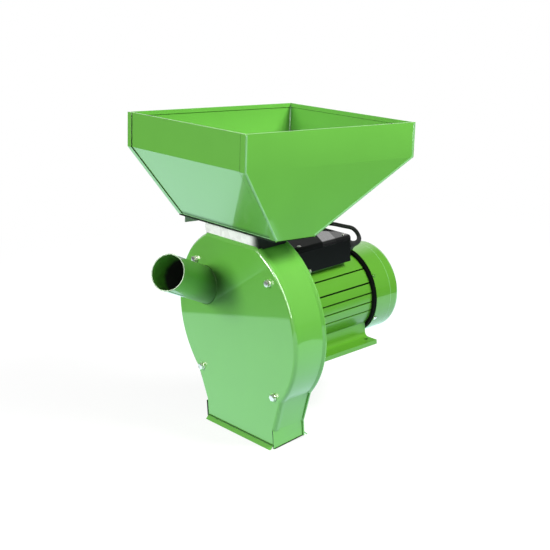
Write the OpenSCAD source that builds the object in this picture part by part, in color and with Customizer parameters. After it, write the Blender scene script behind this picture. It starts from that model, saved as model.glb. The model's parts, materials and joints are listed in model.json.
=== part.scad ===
// Electric grain mill: hammer chamber, sheet-steel hopper with slide gate, and a finned foot motor.
// X is to the right, Y runs from the front cover back to the motor, Z is up.
// The origin is the middle of the outlet at the level of its front lip.

/* [Housing] */
// Radius of the round housing
housing_r = 177; // [170:1:185]
// Depth of the housing, from the cover's face to the back of the rear plate
housing_depth = 73; // [70:1:85]
// Height of the motor axis above the outlet's front lip
axis_z = 222; // [215:1:235]
// How far the flat top is cut below the top of the circle
flat_cut = 16; // [11:1:22]
// Height where the round part runs into the outlet
waist_z = 100; // [90:1:110]
// Height below which the outlet's walls are upright
neck_z = 37; // [30:1:50]
// Width of the outlet
outlet_w = 209; // [190:1:214]
// How much higher the outlet's rear edge is than its front edge
outlet_rise = 6; // [1:1:10]
// How far the outlet's lips stand out, front and rear
lip_reach = 8; // [6:1:14]
// Height of the flared part of each lip
lip_h = 8; // [6:1:12]
// Sheet thickness of the cover and the shell
sheet_t = 2; // [1.5:0.1:3]
// Thickness of the rear plate
rear_t = 3; // [2.5:0.5:5]
// How far the cover's rim wraps back over the shell
cover_rim = 13; // [12:1:18]
// Radius of the cover's rounded edge
cover_round = 8; // [6:1:9]

/* [Cover bolts] */
// Distance from the middle to each cover bolt
cover_bolt_x = 110; // [106:1:116]
// Distance of the upper cover bolts from the housing's edge
bolt_edge_up = 26.3; // [22:0.1:30]
// Distance of the lower cover bolts from the housing's edge
bolt_edge_down = 18; // [16:0.5:24]
// Diameter of the cover bolts
cover_bolt_d = 8; // [6:1:8]
// Length of the bolts behind the rear plate
bolt_tail = 25; // [20:1:30]

/* [Feed spout] */
// Outer diameter of the spout's tube
spout_od = 69; // [60:1:72]
// Wall of the spout's tube
spout_wall = 2; // [1.5:0.5:3]
// Length of the spout along its axis
spout_len = 141; // [120:1:160]
// Upward angle of the spout
spout_up = 26; // [20:1:32]
// Sideways angle of the spout
spout_side = 24; // [15:1:28]
// Distance of the spout's foot to the left of the middle
spout_x = 85; // [80:1:90]
// Height of the spout's foot above the motor axis
spout_rise = 57; // [50:1:60]

/* [Inlet and gate] */
// Width of the inlet neck
inlet_w = 158; // [150:1:164]
// Depth of the inlet neck, front to back
inlet_d = 64; // [60:1:66]
// Height of the inlet neck above the housing's flat top
inlet_h = 21; // [18:1:26]
// Sheet thickness of the neck and the gate
zinc_t = 1.5; // [1:0.5:2]
// Width of the grain passage
passage_w = 104; // [90:1:110]
// Depth of the grain passage, front to back
passage_d = 34; // [30:1:38]
// Travel of the slide gate
gate_travel = 108; // [95:1:110]
// Length of the gate's grip outside the neck, closed
gate_grip = 66; // [50:1:70]
// Height of the gate's turned-down end
gate_tab = 10; // [8:1:12]

/* [Hopper] */
// Width of the hopper's rim
hopper_w = 350; // [330:1:380]
// Depth of the hopper's rim, front to back
hopper_d = 388; // [370:1:400]
// Height of the hopper's upright band
hopper_band = 63; // [50:1:75]
// Height of the sloping part
hopper_drop = 130; // [115:1:145]
// Width of the hopper's bottom
throat_w = 290; // [270:1:300]
// Depth of the hopper's bottom, front to back
throat_d = 89; // [84:1:96]
// How far the front slope leans forward
front_run = 95; // [85:1:105]
// Backward lean of the hopper
hopper_lean = 5.5; // [0:0.5:7]
// Sheet thickness of the hopper
hopper_t = 1.5; // [1:0.5:2]
// Width of the side panels' folded flanges
hopper_flange = 7; // [5:1:12]
// Height of the folded hem inside the rim
hem_h = 8; // [6:1:12]

/* [Rotor] */
// Space between the housing's edge and the sieve
sieve_set = 38; // [37:1:45]
// Sheet thickness of the sieve
sieve_t = 1.5; // [1:0.5:2]
// Diameter of the sieve's holes
sieve_hole_d = 8; // [4:1:10]
// Radius of the two rotor discs
disc_r = 86; // [84:1:90]
// Thickness of each rotor disc
disc_t = 4; // [3:1:5]
// Space between the rotor discs
disc_space = 32; // [30:1:34]
// Distance of the hammer pins from the axis
pin_ring_r = 70; // [68:1:72]
// Diameter of the hammer pins
pin_d = 10; // [8:1:12]
// Thickness of each hammer
hammer_t = 4; // [3:1:5]
// Width of each hammer
hammer_w = 28; // [22:1:30]
// Space between the hammers' tips and the sieve
hammer_gap = 13; // [11:1:18]

/* [Motor] */
// Radius over the motor's ribs
frame_r = 80; // [78:1:82]
// Depth of the grooves between the ribs
groove_depth = 7; // [5:1:8]
// Width of the grooves between the ribs
groove_w = 3; // [2:0.5:5]
// Length of the finned frame
frame_len = 174; // [165:1:185]
// Height of the flat seat for the terminal box above the axis
seat_h = 78; // [76:0.5:78]
// Height of the motor axis above the underside of the feet
shaft_h = 90; // [88:1:95]
// Width across the feet
feet_w = 186; // [180:1:200]
// Thickness of the foot plates
foot_t = 8.5; // [6:0.5:10]
// Spacing of the foot holes across
foot_hole_x = 150; // [146:1:156]
// Distance of the foot holes from the ends of the feet
foot_hole_end = 13; // [12:1:25]
// Diameter of the foot holes
foot_hole_d = 10; // [8:1:12]
// Diameter of the shaft in the mill
shaft_d = 24; // [22:1:24]
// Radius of the fan cover
fan_cover_r = 87.5; // [86.5:0.5:90]
// Length of the fan cover
fan_cover_len = 62; // [55:1:70]

/* [Terminal box] */
// Width of the terminal box
box_w = 110; // [104:1:120]
// Length of the terminal box
box_len = 128; // [124:1:134]
// Height of the terminal box below its lid
box_h = 42; // [40:1:50]
// Height of the lid
lid_h = 10; // [8:1:12]
// Wall of the terminal box
box_wall = 2.5; // [2:0.5:4]
// Outer diameter of the cable gland
gland_d = 23; // [20:1:25]
// Stroke of the reset button
reset_stroke = 2; // [1:0.5:3]

/* [Cord] */
// Diameter of the mains cord
cord_d = 8; // [8:0.5:8]

/* [Hidden] */
$fn = 96;

green = "#4caf3a";
motor_green = "#6cb52f";
zinc = "#d9dadb";
steel = "#9a9fa3";
black = "#1b1c1e";

// Overrun of every cut
over = 1;
// Clearance between seated pieces, and between a shaft and its hole
seat_gap = 0.3;
fit_gap = 0.05;
// Size of a block that is larger than the whole mill
big = 6 * housing_r;

// Housing
shell_in = sheet_t + seat_gap;
shell_back = housing_depth - rear_t;
outlet_x = outlet_w / 2;
flat_h = housing_r - flat_cut;
top_z = axis_z + flat_h;
lip_sheet = sheet_t * sqrt(lip_reach * lip_reach + lip_h * lip_h) / lip_h;
bolt_head_h = 5.5;
bolt_head_af = 13;
washer_t = 1.6;
washer_r = 8;
bolt_hole_r = cover_bolt_d / 2 + seat_gap;
edge_lift = 0.2;
bolt_up = beside(housing_r - bolt_edge_up, cover_bolt_x);
bolt_down = beside(housing_r - bolt_edge_down, cover_bolt_x);
cover_bolts_at = [for (s = [-1, 1]) each [[s * cover_bolt_x, axis_z + bolt_up],
                                          [s * cover_bolt_x, axis_z - bolt_down]]];
nut_h = 6.5;

// Inlet neck, gate and hopper, whose own frame leans back about the hopper floor's middle
inlet_y = sheet_t + inlet_d / 2 + rear_t;
floor_z = top_z + inlet_h;
floor_t = 2;
gate_gap = 0.4;
gate_clear = 1;
guide_lip = 4;
guide_t = 1.2;
gate_d = passage_d + 2 * guide_lip;
gate_stop = 4;
neck_skirt = 6;
gate_z = -zinc_t - gate_gap;
gate_edge = inlet_w / 2 + gate_grip;
gate_left = 2;
throat_y = throat_d / 2;
back_run = hopper_d - throat_d - front_run;
side_run = (hopper_w - throat_w) / 2;
hopper_h = hopper_drop + hopper_band;
hopper_screw_r = 2;
hopper_screw_head_r = 4;
hopper_screw_head = 2.5;
hopper_screw_tail = 5;

// Rotor and hammers
sieve_r = housing_r - sieve_set;
hammer_len = sieve_r - hammer_gap - pin_ring_r;
disc_y = (sheet_t + shell_back) / 2 - disc_space / 2;
hub_r = 22;
hub_tail = 3;
pin_head = 2;
pin_head_r = 7;
spacer_r = 8;
hammer_tail = 12;
hammer_slots = 4;
slot_pitch = disc_space / hammer_slots;
pin_fit = 0.08;
rotor_washer_t = 3;
rotor_bolt_head = 6;
rotor_bolt_af = 17;
rotor_bolt_d = 10;
key_w = 6;
key_h = 3;
key_inset = 6;
sieve_rows = 3;
sieve_cols = 18;
sieve_open = 62;
sieve_step = 13;

// Motor along Y
shield_y = housing_depth;
shield_flange_t = 12;
shield_flange_r = 76;
shield_neck_r = 62;
shield_neck_len = 22;
shield_rim_y = shield_y + shield_neck_len;
shield_rim_t = 8;
frame_y = shield_rim_y + shield_rim_t;
frame_back = frame_y + frame_len;
frame_bore_r = 66;
spigot_len = 6;
spigot_t = 5;
rear_rim_front = 6;
rear_rim_len = 14;
rear_wall_t = 6;
cover_y = frame_back + rear_rim_front;
cover_back = cover_y + fan_cover_len;
cover_t = 1.5;
cover_edge_r = 12;
core_set = 42;
core_y = frame_y + core_set;
core_len = frame_len - 2 * core_set;
air_gap = 0.5;
rotor_core_r = 42;
winding_len = 24;
winding_in = 4;
winding_out = 5;
winding_off = 1;
end_ring_len = 8;
end_ring_in = 14;
core_shaft_r = 15;
front_bore_r = 26;
front_bearing_w = 15;
front_journal_r = 12.5;
front_bearing_set = 9;
front_bearing_y = shield_y + front_bearing_set;
rear_bore_r = 23.5;
rear_bearing_w = 14;
rear_journal_r = 10;
rear_bearing_y = frame_back - spigot_len;
shaft_hole_r = 18;
ring_wall = 3.5;
ball_count = 9;
shaft_back_gap = 18;
shaft_back = cover_back - shaft_back_gap;
fan_gap = 15;
fan_y = rear_bearing_y + rear_bearing_w + fan_gap;
fan_len = 20;
fan_r = 72;
fan_hub_r = 17;
fan_disc_t = 2;
fan_blade_t = 2;
fan_blades = 8;
grille_slots = 20;
grille_in = 24;
grille_out = 68;
grille_w = 5;
grille_bridge = 4;
flange_ring_r = 57.5;
flange_bolt_r = 4;
flange_bolt_head = 3.5;
flange_bolt_head_r = 6.5;
shield_screw_r = 2.5;
shield_screw_head = 4;
shield_screw_head_r = 4.3;
shield_screw_in = 14;
shield_ring_r = 71;
fan_screw_r = 2;
fan_screw_head_r = 4;
fan_screw_head = 2.2;
fan_screw_in = 5;
fan_screw_set = 4;
fan_screw_y = cover_y + fan_screw_set;
fan_screw_turn = 30;
rib_turns = [44, 22.5, 8, -5, -18];
foot_set = 21;
foot_back_gap = 2;
foot_y = frame_y + foot_set;
foot_len = frame_len - foot_set - foot_back_gap;
foot_hole_y = foot_len - 2 * foot_hole_end;
foot_z = axis_z - shaft_h;
foot_web = 10;
foot_web_x = 60;
foot_fillet = 9;
foot_web_top = 44;
seat_w = 80;
seat_margin = 3;
foot_holes_y = foot_y + foot_len / 2;

// Terminal box and what it holds
box_set = 15;
box_y = frame_y + box_set;
box_z = axis_z + seat_h;
box_top = box_z + box_h;
box_floor = 2;
lid_over = 1;
lid_round = 6;
lid_wall = 2;
lid_screw_in = 9;
lid_screw_x = box_w / 2 - lid_screw_in;
lid_screw_y = 8;
lid_screw_r = 3.8;
lid_screw_h = 2;
lid_boss_r = 5;
lid_screw_hole = 1.6;
switch_deep = 14;
cap_gap = 2.75;
cap_r = (box_w / 2 - box_wall - switch_deep) / 2 - cap_gap;
cap_len = 78;
cap_round = 2;
cap_set = 3;
cap_y = box_y + box_wall + cap_set;
cap_x = cap_r + cap_gap;
block_gap = 12;
block_w = 34;
block_len = 14;
block_h = 16;
block_ways = 4;
block_hole_r = 2;
block_y = cap_y + cap_len + block_gap;
gland_x = 42;
gland_up = 27;
gland_z = box_z + gland_up;
gland_flange = 3;
gland_thread_r = 8;
gland_nut_len = 11;
gland_nose_len = 8;
gland_nose_r = 5.6;
gland_lock_r = 9.5;
gland_lock_len = 4;
// The lid's screws end in corner blocks that stay above the gland's lock nut
corner_block = 5;
corner_h = box_h - gland_up - gland_lock_r - seat_gap;
dome_r = 3;
switch_set = 58;
switch_y = box_y + switch_set;
switch_up = 22;
switch_z = box_z + switch_up;
switch_len = 27;
switch_high = 21;
switch_frame = 2;
rocker_len = 20;
rocker_high = 13;
rocker_r = 10;
rocker_tilt = 10;
rocker_pin_r = 1.5;
rocker_pin_grip = 1.25;
rocker_pin_h = rocker_high + 2 * rocker_pin_grip;
rocker_gap = 0.5;
rocker_tip = 6;
rocker_dip = 2.5;
reset_set = 92;
reset_y = box_y + reset_set;
reset_r = 5;
reset_proud = 3;
reset_out = reset_stroke + reset_proud;
reset_collar_r = 7.5;
reset_collar = 3;
reset_guide = 7;

// Cord, coil, tail and plug; the free stretches run along points chosen by hand
cord_r = cord_d / 2;
cord_sides = 8;
coil_x = -230;
coil_y = 190;
coil_r = 52;
coil_step = 9;
coil_turns = 2;
coil_rings = 24;
coil_sides = 6;
coil_lift = 1.4;
coil_z = cord_r + coil_lift;
coil_rise = 8.8;
coil_run = cord_d;
tie_t = 0.8;
tie_w = 8;
tie_gap = 0.5;
lead_points = [[42, 268, 327], [42, 270, 327], [40.5, 279.5, 328.5], [35.5, 287.5, 332.5],
    [28.5, 291.5, 338], [21, 291.5, 344.5], [14.5, 287, 350], [2.5, 276.5, 353.5], [-12, 264, 357.5],
    [-28, 255, 358], [-44, 247, 358], [-60, 238, 355], [-75, 228, 347], [-88, 217, 331], [-98, 207, 305],
    [-104, 198, 265], [-108, 190, 215], [-111, 180, 150], [-115, 170, 88], [-124, 160, 44], [-141, 151, 18],
    [-165, 143, 7.5], [-192, 138, 5.4], [-212, 138, 5.4], [-222, 138, 5.4]];
tail_points = [[-222, 242, 14.2], [-212, 242, 14.2], [-202, 242, 15.5], [-192, 242, 18], [-184, 242, 19.5],
    [-176, 242, 19.5]];
plug_x = -176;
plug_y = 242;
plug_z = 19.5;
plug_r = 19;
plug_len = 26;
plug_grip_len = 24;
plug_grip_r = 11;
plug_boot_r = 7;
plug_pin_d = 4.8;
plug_pin_len = 19;
plug_pin_apart = 19;

// Half width of the round housing's outline where it meets the outlet, for a given inset
function waist_x(inset) = beside(housing_r - inset, axis_z - waist_z);
// Other leg of a right triangle with longest side r and leg a
function beside(r, a) = sqrt(r * r - a * a);
function unit(v) = v / norm(v);
// Direction of the spout, out of the mill
function spout_dir() = [sin(spout_side) * cos(spout_up), -cos(spout_side) * cos(spout_up), sin(spout_up)];

// Stands a flat shape up in the XZ plane and gives it a depth along Y
module upright(y0, depth) {
    translate([0, y0 + depth, 0]) rotate([90, 0, 0]) linear_extrude(depth) children();
}

// Lays a (Y, Z) outline across X from x0
module across(x0, width) {
    translate([x0, 0, 0]) rotate([90, 0, 90]) linear_extrude(width) children();
}

// Puts children on the motor axis, with their Z along +Y from y0
module on_axis(y0) {
    translate([0, y0, axis_z]) rotate([-90, 0, 0]) children();
}

// A round bar or bore along Y
module bar_y(x, z, y0, len, r) {
    translate([x, y0, z]) rotate([-90, 0, 0]) cylinder(h = len, r = r);
}

// Outline of the housing, drawn in by inset
module outline(inset) {
    intersection() {
        translate([0, axis_z]) circle(r = housing_r - inset);
        translate([-housing_r, axis_z - housing_r]) square([2 * housing_r, housing_r + flat_h - inset]);
    }
    polygon([[-waist_x(inset), waist_z], [waist_x(inset), waist_z],
        [outlet_x - inset, neck_z], [outlet_x - inset, -lip_h - inset],
        [inset - outlet_x, -lip_h - inset], [inset - outlet_x, neck_z]]);
}

// All that lies below the outlet's sloping edge
module below_outlet() {
    rotate([atan(outlet_rise / housing_depth), 0, 0])
        translate([-big / 2, -big / 2, -big]) cube([big, big, big]);
}

module cover_bolt_places() {
    for (p = cover_bolts_at) translate([p[0], 0, p[1]]) children();
}

// Section of a pan's edge: it lies left of X = 0 and from Y = inset back, with its corner rounded
module edge_section(inset, depth) {
    mid = cover_round - edge_lift;
    translate([-big, inset]) square([big - cover_round, depth - inset]);
    translate([-cover_round - over, mid]) square([cover_round + over - inset, depth - mid]);
    intersection() {
        translate([-cover_round, mid]) circle(r = cover_round - inset);
        translate([-big, inset]) square([big, depth - inset]);
    }
}

// Pan with a rounded front edge: a round part and slanting sides that run into each other at the waist
module pan(inset, depth) {
    lean = atan((waist_x(0) - outlet_x) / (waist_z - neck_z));
    intersection() {
        on_axis(0) rotate_extrude() intersection() {
            translate([housing_r, 0]) edge_section(inset, depth);
            square([housing_r, depth]);
        }
        translate([-big / 2, 0, top_z]) rotate([90, 0, 90]) linear_extrude(big)
            rotate([0, 0, 90]) mirror([0, 1]) edge_section(inset, depth);
        translate([-big / 2, -over, waist_z - cover_round]) cube([big, depth + 2 * over, big]);
    }
    intersection() {
        for_sides() translate([outlet_x, 0, neck_z]) rotate([0, lean, 0])
            translate([0, 0, -big / 2]) linear_extrude(big) edge_section(inset, depth);
        translate([-big / 2, -over, neck_z]) cube([big, depth + 2 * over, waist_z - neck_z + cover_round]);
    }
}

// Keeps what lies inside both the right side's body and its mirror image
module for_sides() {
    intersection() {
        children();
        mirror([1, 0, 0]) children();
    }
}

module spout_place() {
    d = spout_dir();
    translate([-spout_x, 0, axis_z + spout_rise])
        rotate([0, acos(d[2]), atan2(d[1], d[0])]) children();
}

// Leans the inlet's upper part, the gate and the hopper back about the floor's middle
module leaned() {
    translate([0, inlet_y, floor_z]) rotate([-hopper_lean, 0, 0]) children();
}

module housing_shell() {
    color(green) difference() {
        union() {
            upright(cover_round, shell_back - cover_round) difference() {
                outline(shell_in);
                outline(shell_in + sheet_t);
            }
            for (s = [-1, 1]) translate([s > 0 ? outlet_x - shell_in - sheet_t : shell_in - outlet_x, 0, 0])
                cube([sheet_t, cover_round + over, neck_z - seat_gap]);
        }
        translate([-passage_w / 2, inlet_y - passage_d / 2, axis_z]) cube([passage_w, passage_d, big]);
        below_outlet();
    }
}

module rear_plate() {
    color(green) difference() {
        union() {
            upright(shell_back, rear_t) outline(0);
            translate([0, housing_depth, outlet_rise]) mirror([0, 1, 0]) lip(outlet_w);
        }
        bar_y(0, axis_z, shell_back - over, rear_t + 2 * over, shaft_hole_r);
        cover_bolt_places() bar_y(0, 0, shell_back - over, rear_t + 2 * over, bolt_hole_r);
        for (a = [45:90:315]) on_axis(shell_back - over) rotate([0, 0, a])
            translate([flange_ring_r, 0, 0]) cylinder(h = rear_t + 2 * over, r = flange_bolt_r + fit_gap);
        intersection() {
            below_outlet();
            translate([-big / 2, -big / 2, -big / 2]) cube([big, big / 2 + housing_depth, big]);
        }
    }
}

// Flared lip whose top edge starts on the Y = 0 face
module lip(width) {
    inner = sheet_t + lip_reach - lip_sheet;
    across(-width / 2, width) polygon([[0, lip_h], [-lip_reach, 0], [lip_sheet - lip_reach, 0],
        [sheet_t, inner * lip_h / lip_reach], [sheet_t, lip_h]]);
}

module front_cover() {
    tongue = outlet_x - shell_in - sheet_t - seat_gap;
    color(green) difference() {
        union() {
            difference() {
                pan(0, cover_rim);
                pan(sheet_t, cover_rim + over);
                translate([-big / 2, -big / 2, neck_z - big]) cube([big, big, big]);
            }
            translate([-tongue, 0, lip_h]) cube([2 * tongue, sheet_t, neck_z]);
            lip(2 * tongue);
        }
        cover_bolt_places() bar_y(0, 0, -over, sheet_t + 2 * over, bolt_hole_r);
        spout_place() translate([0, 0, -spout_od]) cylinder(h = 2 * spout_od, r = spout_od / 2 - spout_wall);
    }
}

module feed_spout() {
    color(green) difference() {
        spout_place() translate([0, 0, -spout_od]) difference() {
            cylinder(h = spout_len + spout_od, r = spout_od / 2);
            translate([0, 0, -over])
                cylinder(h = spout_len + spout_od + 2 * over, r = spout_od / 2 - spout_wall);
        }
        translate([-big / 2, 0, 0]) cube([big, big, big]);
    }
}

module cover_bolts() {
    color(zinc) cover_bolt_places() {
        bar_y(0, 0, -washer_t - seat_gap, housing_depth + bolt_tail + washer_t + seat_gap, cover_bolt_d / 2);
        translate([0, -washer_t, 0]) rotate([90, 0, 0])
            cylinder(h = bolt_head_h, d = bolt_head_af / cos(30), $fn = 6);
        difference() {
            bar_y(0, 0, -washer_t, washer_t, washer_r);
            bar_y(0, 0, -washer_t - over, washer_t + 2 * over, cover_bolt_d / 2 - fit_gap);
        }
    }
}

module cover_nuts() {
    color(zinc) cover_bolt_places() difference() {
        translate([0, housing_depth + washer_t + nut_h, 0]) rotate([90, 0, 0])
            cylinder(h = nut_h, d = bolt_head_af / cos(30), $fn = 6);
        bar_y(0, 0, housing_depth, washer_t + nut_h + over, cover_bolt_d / 2 + fit_gap);
    }
    color(zinc) cover_bolt_places() difference() {
        bar_y(0, 0, housing_depth, washer_t, washer_r);
        bar_y(0, 0, housing_depth - over, washer_t + 2 * over, cover_bolt_d / 2 + fit_gap);
    }
}

// Four-sided duct with a floor and a skirt that stands on the shell; its top follows the hopper's lean
module inlet_neck() {
    slot_h = 2 * gate_gap + zinc_t;
    x = inlet_w / 2;
    y = inlet_y - inlet_d / 2;
    color(zinc) difference() {
        translate([-x, y, top_z - neck_skirt]) cube([inlet_w, inlet_d, neck_skirt + 2 * inlet_h]);
        for (z = [[top_z - neck_skirt - over, neck_skirt + over], [top_z + zinc_t, 2 * inlet_h]])
            translate([zinc_t - x, y + zinc_t, z[0]]) cube([inlet_w - 2 * zinc_t, inlet_d - 2 * zinc_t, z[1]]);
        translate([-passage_w / 2, inlet_y - passage_d / 2, top_z - over])
            cube([passage_w, passage_d, zinc_t + 2 * over]);
        upright(-over, cover_rim + seat_gap + over) outline(0);
        upright(0, housing_depth) outline(shell_in);
        leaned() translate([-big / 2, -big / 2, 0]) cube([big, big, big]);
        leaned() translate([-inlet_w, -gate_d / 2 - gate_clear, -slot_h])
            cube([inlet_w, gate_d + 2 * gate_clear, slot_h + over]);
    }
}

// Two Z-shaped channels, front and rear, that carry the gate's edges under the hopper floor
module gate_guides() {
    drop = 2 * gate_gap + zinc_t + guide_t;
    reach = gate_d / 2 + gate_gap;
    half = inlet_w / 2 - zinc_t - seat_gap;
    out = inlet_d / 2 - zinc_t - 2 * seat_gap;
    color(zinc) leaned() difference() {
        for (s = [0, 1]) mirror([0, s, 0]) {
            translate([-half, reach, -drop]) cube([2 * half, guide_t, drop]);
            translate([-half, reach - guide_lip, -drop]) cube([2 * half, guide_lip + over, guide_t]);
            translate([-half, reach, -guide_t]) cube([2 * half, out - reach, guide_t]);
        }
        hopper_screw_places() translate([0, 0, -drop]) cylinder(h = drop + over, r = hopper_screw_r + fit_gap);
    }
}

// Slide plate with a wide grip outside the neck, whose end is turned down; drawn out by its travel, its
// inner end has left the grain passage but for gate_left
module gate_plate() {
    end_x = gate_travel + gate_left - passage_w / 2;
    color(zinc) leaned() {
        translate([-gate_edge, -gate_d / 2, gate_z]) cube([gate_edge + end_x, gate_d, zinc_t]);
        translate([-gate_edge, -inlet_d / 2, gate_z]) cube([gate_grip - gate_stop, inlet_d, zinc_t]);
        translate([-gate_edge, -inlet_d / 2, gate_z - gate_tab]) cube([zinc_t, inlet_d, gate_tab + zinc_t]);
    }
}

// Flat floor of the hopper with its grain opening
module hopper_floor() {
    color(green) leaned() difference() {
        translate([-throat_w / 2, -throat_y, 0]) cube([throat_w, throat_d, floor_t]);
        translate([-passage_w / 2, -passage_d / 2, -over]) cube([passage_w, passage_d, floor_t + 2 * over]);
        hopper_screw_places() translate([0, 0, -over])
            cylinder(h = floor_t + 2 * over, r = hopper_screw_r + fit_gap);
    }
}

// Beside the grain passage, over the middle of the guides' outer flanges
module hopper_screw_places() {
    inside = gate_d / 2 + gate_gap + guide_t;
    outside = inlet_d / 2 - zinc_t - 2 * seat_gap;
    for (x = [-1, 1], y = [-1, 1])
        translate([x * (passage_w / 2 + 2 * hopper_screw_head_r), y * (inside + outside) / 2, 0]) children();
}

module hopper_screws() {
    color(zinc) leaned() hopper_screw_places() {
        translate([0, 0, floor_t]) cylinder(h = hopper_screw_head, r = hopper_screw_head_r);
        translate([0, 0, -hopper_screw_tail])
            cylinder(h = hopper_screw_tail + floor_t + hopper_screw_head, r = hopper_screw_r);
    }
}

// A panel leans out by run over the slope's height; its sheet is this wide along the slope's foot
function sheet_foot(run) = hopper_t * sqrt(run * run + hopper_drop * hopper_drop) / hopper_drop;
// Outer face of a panel with its outward direction first
function panel_face(run) = [[0, 0], [run, hopper_drop], [run, hopper_h]];
// The same face moved by the sheet's thickness, inward for side -1 and outward for side 1, from the rim down
function panel_back(run, side) =
    let (out = side * hopper_t, foot = side * sheet_foot(run))
    [[run + out, hopper_h], [run + out, hopper_drop * (run + out - foot) / run], [foot, 0]];

// Shape in the hopper's (X, Z) section, moved out to the right edge of the throat
module side_section(points) {
    upright(-big / 2, big) polygon([for (p = points) [throat_w / 2 + p[0], p[1]]]);
}

// Shape in the hopper's (Y, Z) section, moved back to the rear edge of the throat
module end_section(points) {
    across(-big / 2, big) polygon([for (p = points) [throat_y + p[0], p[1]]]);
}

// Front and back panels are alike but for their lean: a sheet between the side panels, and its hem
module end_panel(run) {
    inner = panel_back(side_run, -1);
    half = throat_w / 2 + side_run - hopper_t;
    intersection() {
        end_section(concat(panel_face(run), panel_back(run, -1)));
        upright(-big / 2, big) polygon(concat([for (p = inner) [throat_w / 2 + p[0], p[1]]],
            [for (k = [2:-1:0]) [-throat_w / 2 - inner[k][0], inner[k][1]]]));
    }
    translate([-half, throat_y + run - 2 * hopper_t, hopper_h - hem_h])
        cube([2 * half, hopper_t + fit_gap, hem_h]);
}

module hopper_front() {
    color(green) leaned() translate([0, 0, floor_t]) mirror([0, 1, 0]) end_panel(front_run);
}

module hopper_back() {
    color(green) leaned() translate([0, 0, floor_t]) end_panel(back_run);
}

// Side panel: the leaning sheet, its hem, and a flange folded over the front and the back panel
module side_panel() {
    far = 2 * hopper_t;
    intersection() {
        side_section(concat(panel_face(side_run), panel_back(side_run, -1)));
        across(-big / 2, big) polygon(concat([for (p = panel_face(back_run)) [throat_y + p[0], p[1]]],
            [for (k = [2:-1:0]) [-throat_y - panel_face(front_run)[k][0], panel_face(front_run)[k][1]]]));
    }
    translate([throat_w / 2 + side_run - far, far - throat_y - front_run, hopper_h - hem_h])
        cube([hopper_t + fit_gap, hopper_d - 2 * far, hem_h]);
    for (s = [0, 1]) intersection() {
        mirror([0, s, 0]) end_section(let (run = s > 0 ? front_run : back_run)
            concat(panel_face(run), panel_back(run, 1)));
        side_section(concat(panel_face(side_run), [[side_run - hopper_flange, hopper_h],
            [side_run - hopper_flange, hopper_drop], [-hopper_flange, 0]]));
    }
}

module hopper_right() {
    color(green) leaned() translate([0, 0, floor_t]) side_panel();
}

module hopper_left() {
    color(green) leaned() translate([0, 0, floor_t]) mirror([1, 0, 0]) side_panel();
}

// Perforated ring between the cover and the rear plate, open below the grain inlet
module sieve() {
    y0 = sheet_t + seat_gap;
    len = shell_back - seat_gap - y0;
    color(steel) difference() {
        on_axis(y0) difference() {
            cylinder(h = len, r = sieve_r + sieve_t);
            translate([0, 0, -over]) cylinder(h = len + 2 * over, r = sieve_r);
            for (row = [0:sieve_rows - 1], col = [0:sieve_cols - 1])
                rotate([0, 0, 90 - sieve_step * (sieve_cols - 1) / 2 + sieve_step * col])
                    translate([sieve_r - over, 0, len * (row + 1) / (sieve_rows + 1)])
                        rotate([0, 90, 0]) cylinder(h = sieve_t + 2 * over, d = sieve_hole_d, $fn = 24);
        }
        translate([-sieve_open, y0 - over, axis_z]) cube([2 * sieve_open, len + 2 * over, housing_r]);
    }
}

module rotor_hub() {
    y0 = disc_y - disc_t - hub_tail;
    len = disc_space + 2 * (disc_t + hub_tail);
    color(steel) on_axis(y0) difference() {
        cylinder(h = len, r = hub_r);
        translate([0, 0, -over]) cylinder(h = len + 2 * over, r = shaft_d / 2 + fit_gap);
        translate([-key_w / 2 - fit_gap, 0, -over])
            cube([key_w + 2 * fit_gap, shaft_d / 2 + key_h + fit_gap, len + 2 * over]);
    }
}

module rotor_disc(y0) {
    color(steel) on_axis(y0) difference() {
        cylinder(h = disc_t, r = disc_r);
        translate([0, 0, -over]) cylinder(h = disc_t + 2 * over, r = hub_r + fit_gap);
        for (a = [45:90:315]) rotate([0, 0, a]) translate([pin_ring_r, 0, -over])
            cylinder(h = disc_t + 2 * over, r = pin_d / 2 + fit_gap);
    }
}

module rotor_disc_front() {
    rotor_disc(disc_y - disc_t);
}

module rotor_disc_rear() {
    rotor_disc(disc_y + disc_space);
}

// Place of hammer pin k, counted from the upper right one against the clock
function pin_at(k) = [pin_ring_r * cos(45 + 90 * k), axis_z + pin_ring_r * sin(45 + 90 * k)];
function hammer_y(k) = disc_y + slot_pitch * (k + 0.5) - hammer_t / 2;

module hammer_pins() {
    color(steel) for (k = [0:3]) {
        bar_y(pin_at(k)[0], pin_at(k)[1], disc_y - disc_t, disc_space + 2 * disc_t, pin_d / 2);
        for (y = [disc_y - disc_t - pin_head, disc_y + disc_space + disc_t])
            bar_y(pin_at(k)[0], pin_at(k)[1], y, pin_head, pin_head_r);
    }
}

module hammer_spacers() {
    color(steel) for (k = [0:3]) {
        near = hammer_y(k) - disc_y - 2 * seat_gap;
        far = disc_space - near - hammer_t - 4 * seat_gap;
        for (p = [[disc_y + seat_gap, near], [hammer_y(k) + hammer_t + seat_gap, far]]) difference() {
            bar_y(pin_at(k)[0], pin_at(k)[1], p[0], p[1], spacer_r);
            bar_y(pin_at(k)[0], pin_at(k)[1], p[0] - over, p[1] + 2 * over, pin_d / 2 + fit_gap);
        }
    }
}

// Flat hammer that hangs from its pin, with its round end at the pin
module hammer(k) {
    color(steel) translate([pin_at(k)[0], hammer_y(k) + hammer_t, pin_at(k)[1]]) rotate([90, 0, 0])
        linear_extrude(hammer_t) difference() {
            union() {
                translate([-hammer_w / 2, -hammer_len]) square([hammer_w, hammer_len]);
                intersection() {
                    circle(r = hammer_w / 2);
                    translate([-hammer_w / 2, 0]) square([hammer_w, hammer_tail]);
                }
            }
            circle(r = pin_d / 2 + pin_fit);
        }
}

module hammer_1() {
    hammer(0);
}

module hammer_2() {
    hammer(1);
}

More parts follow.
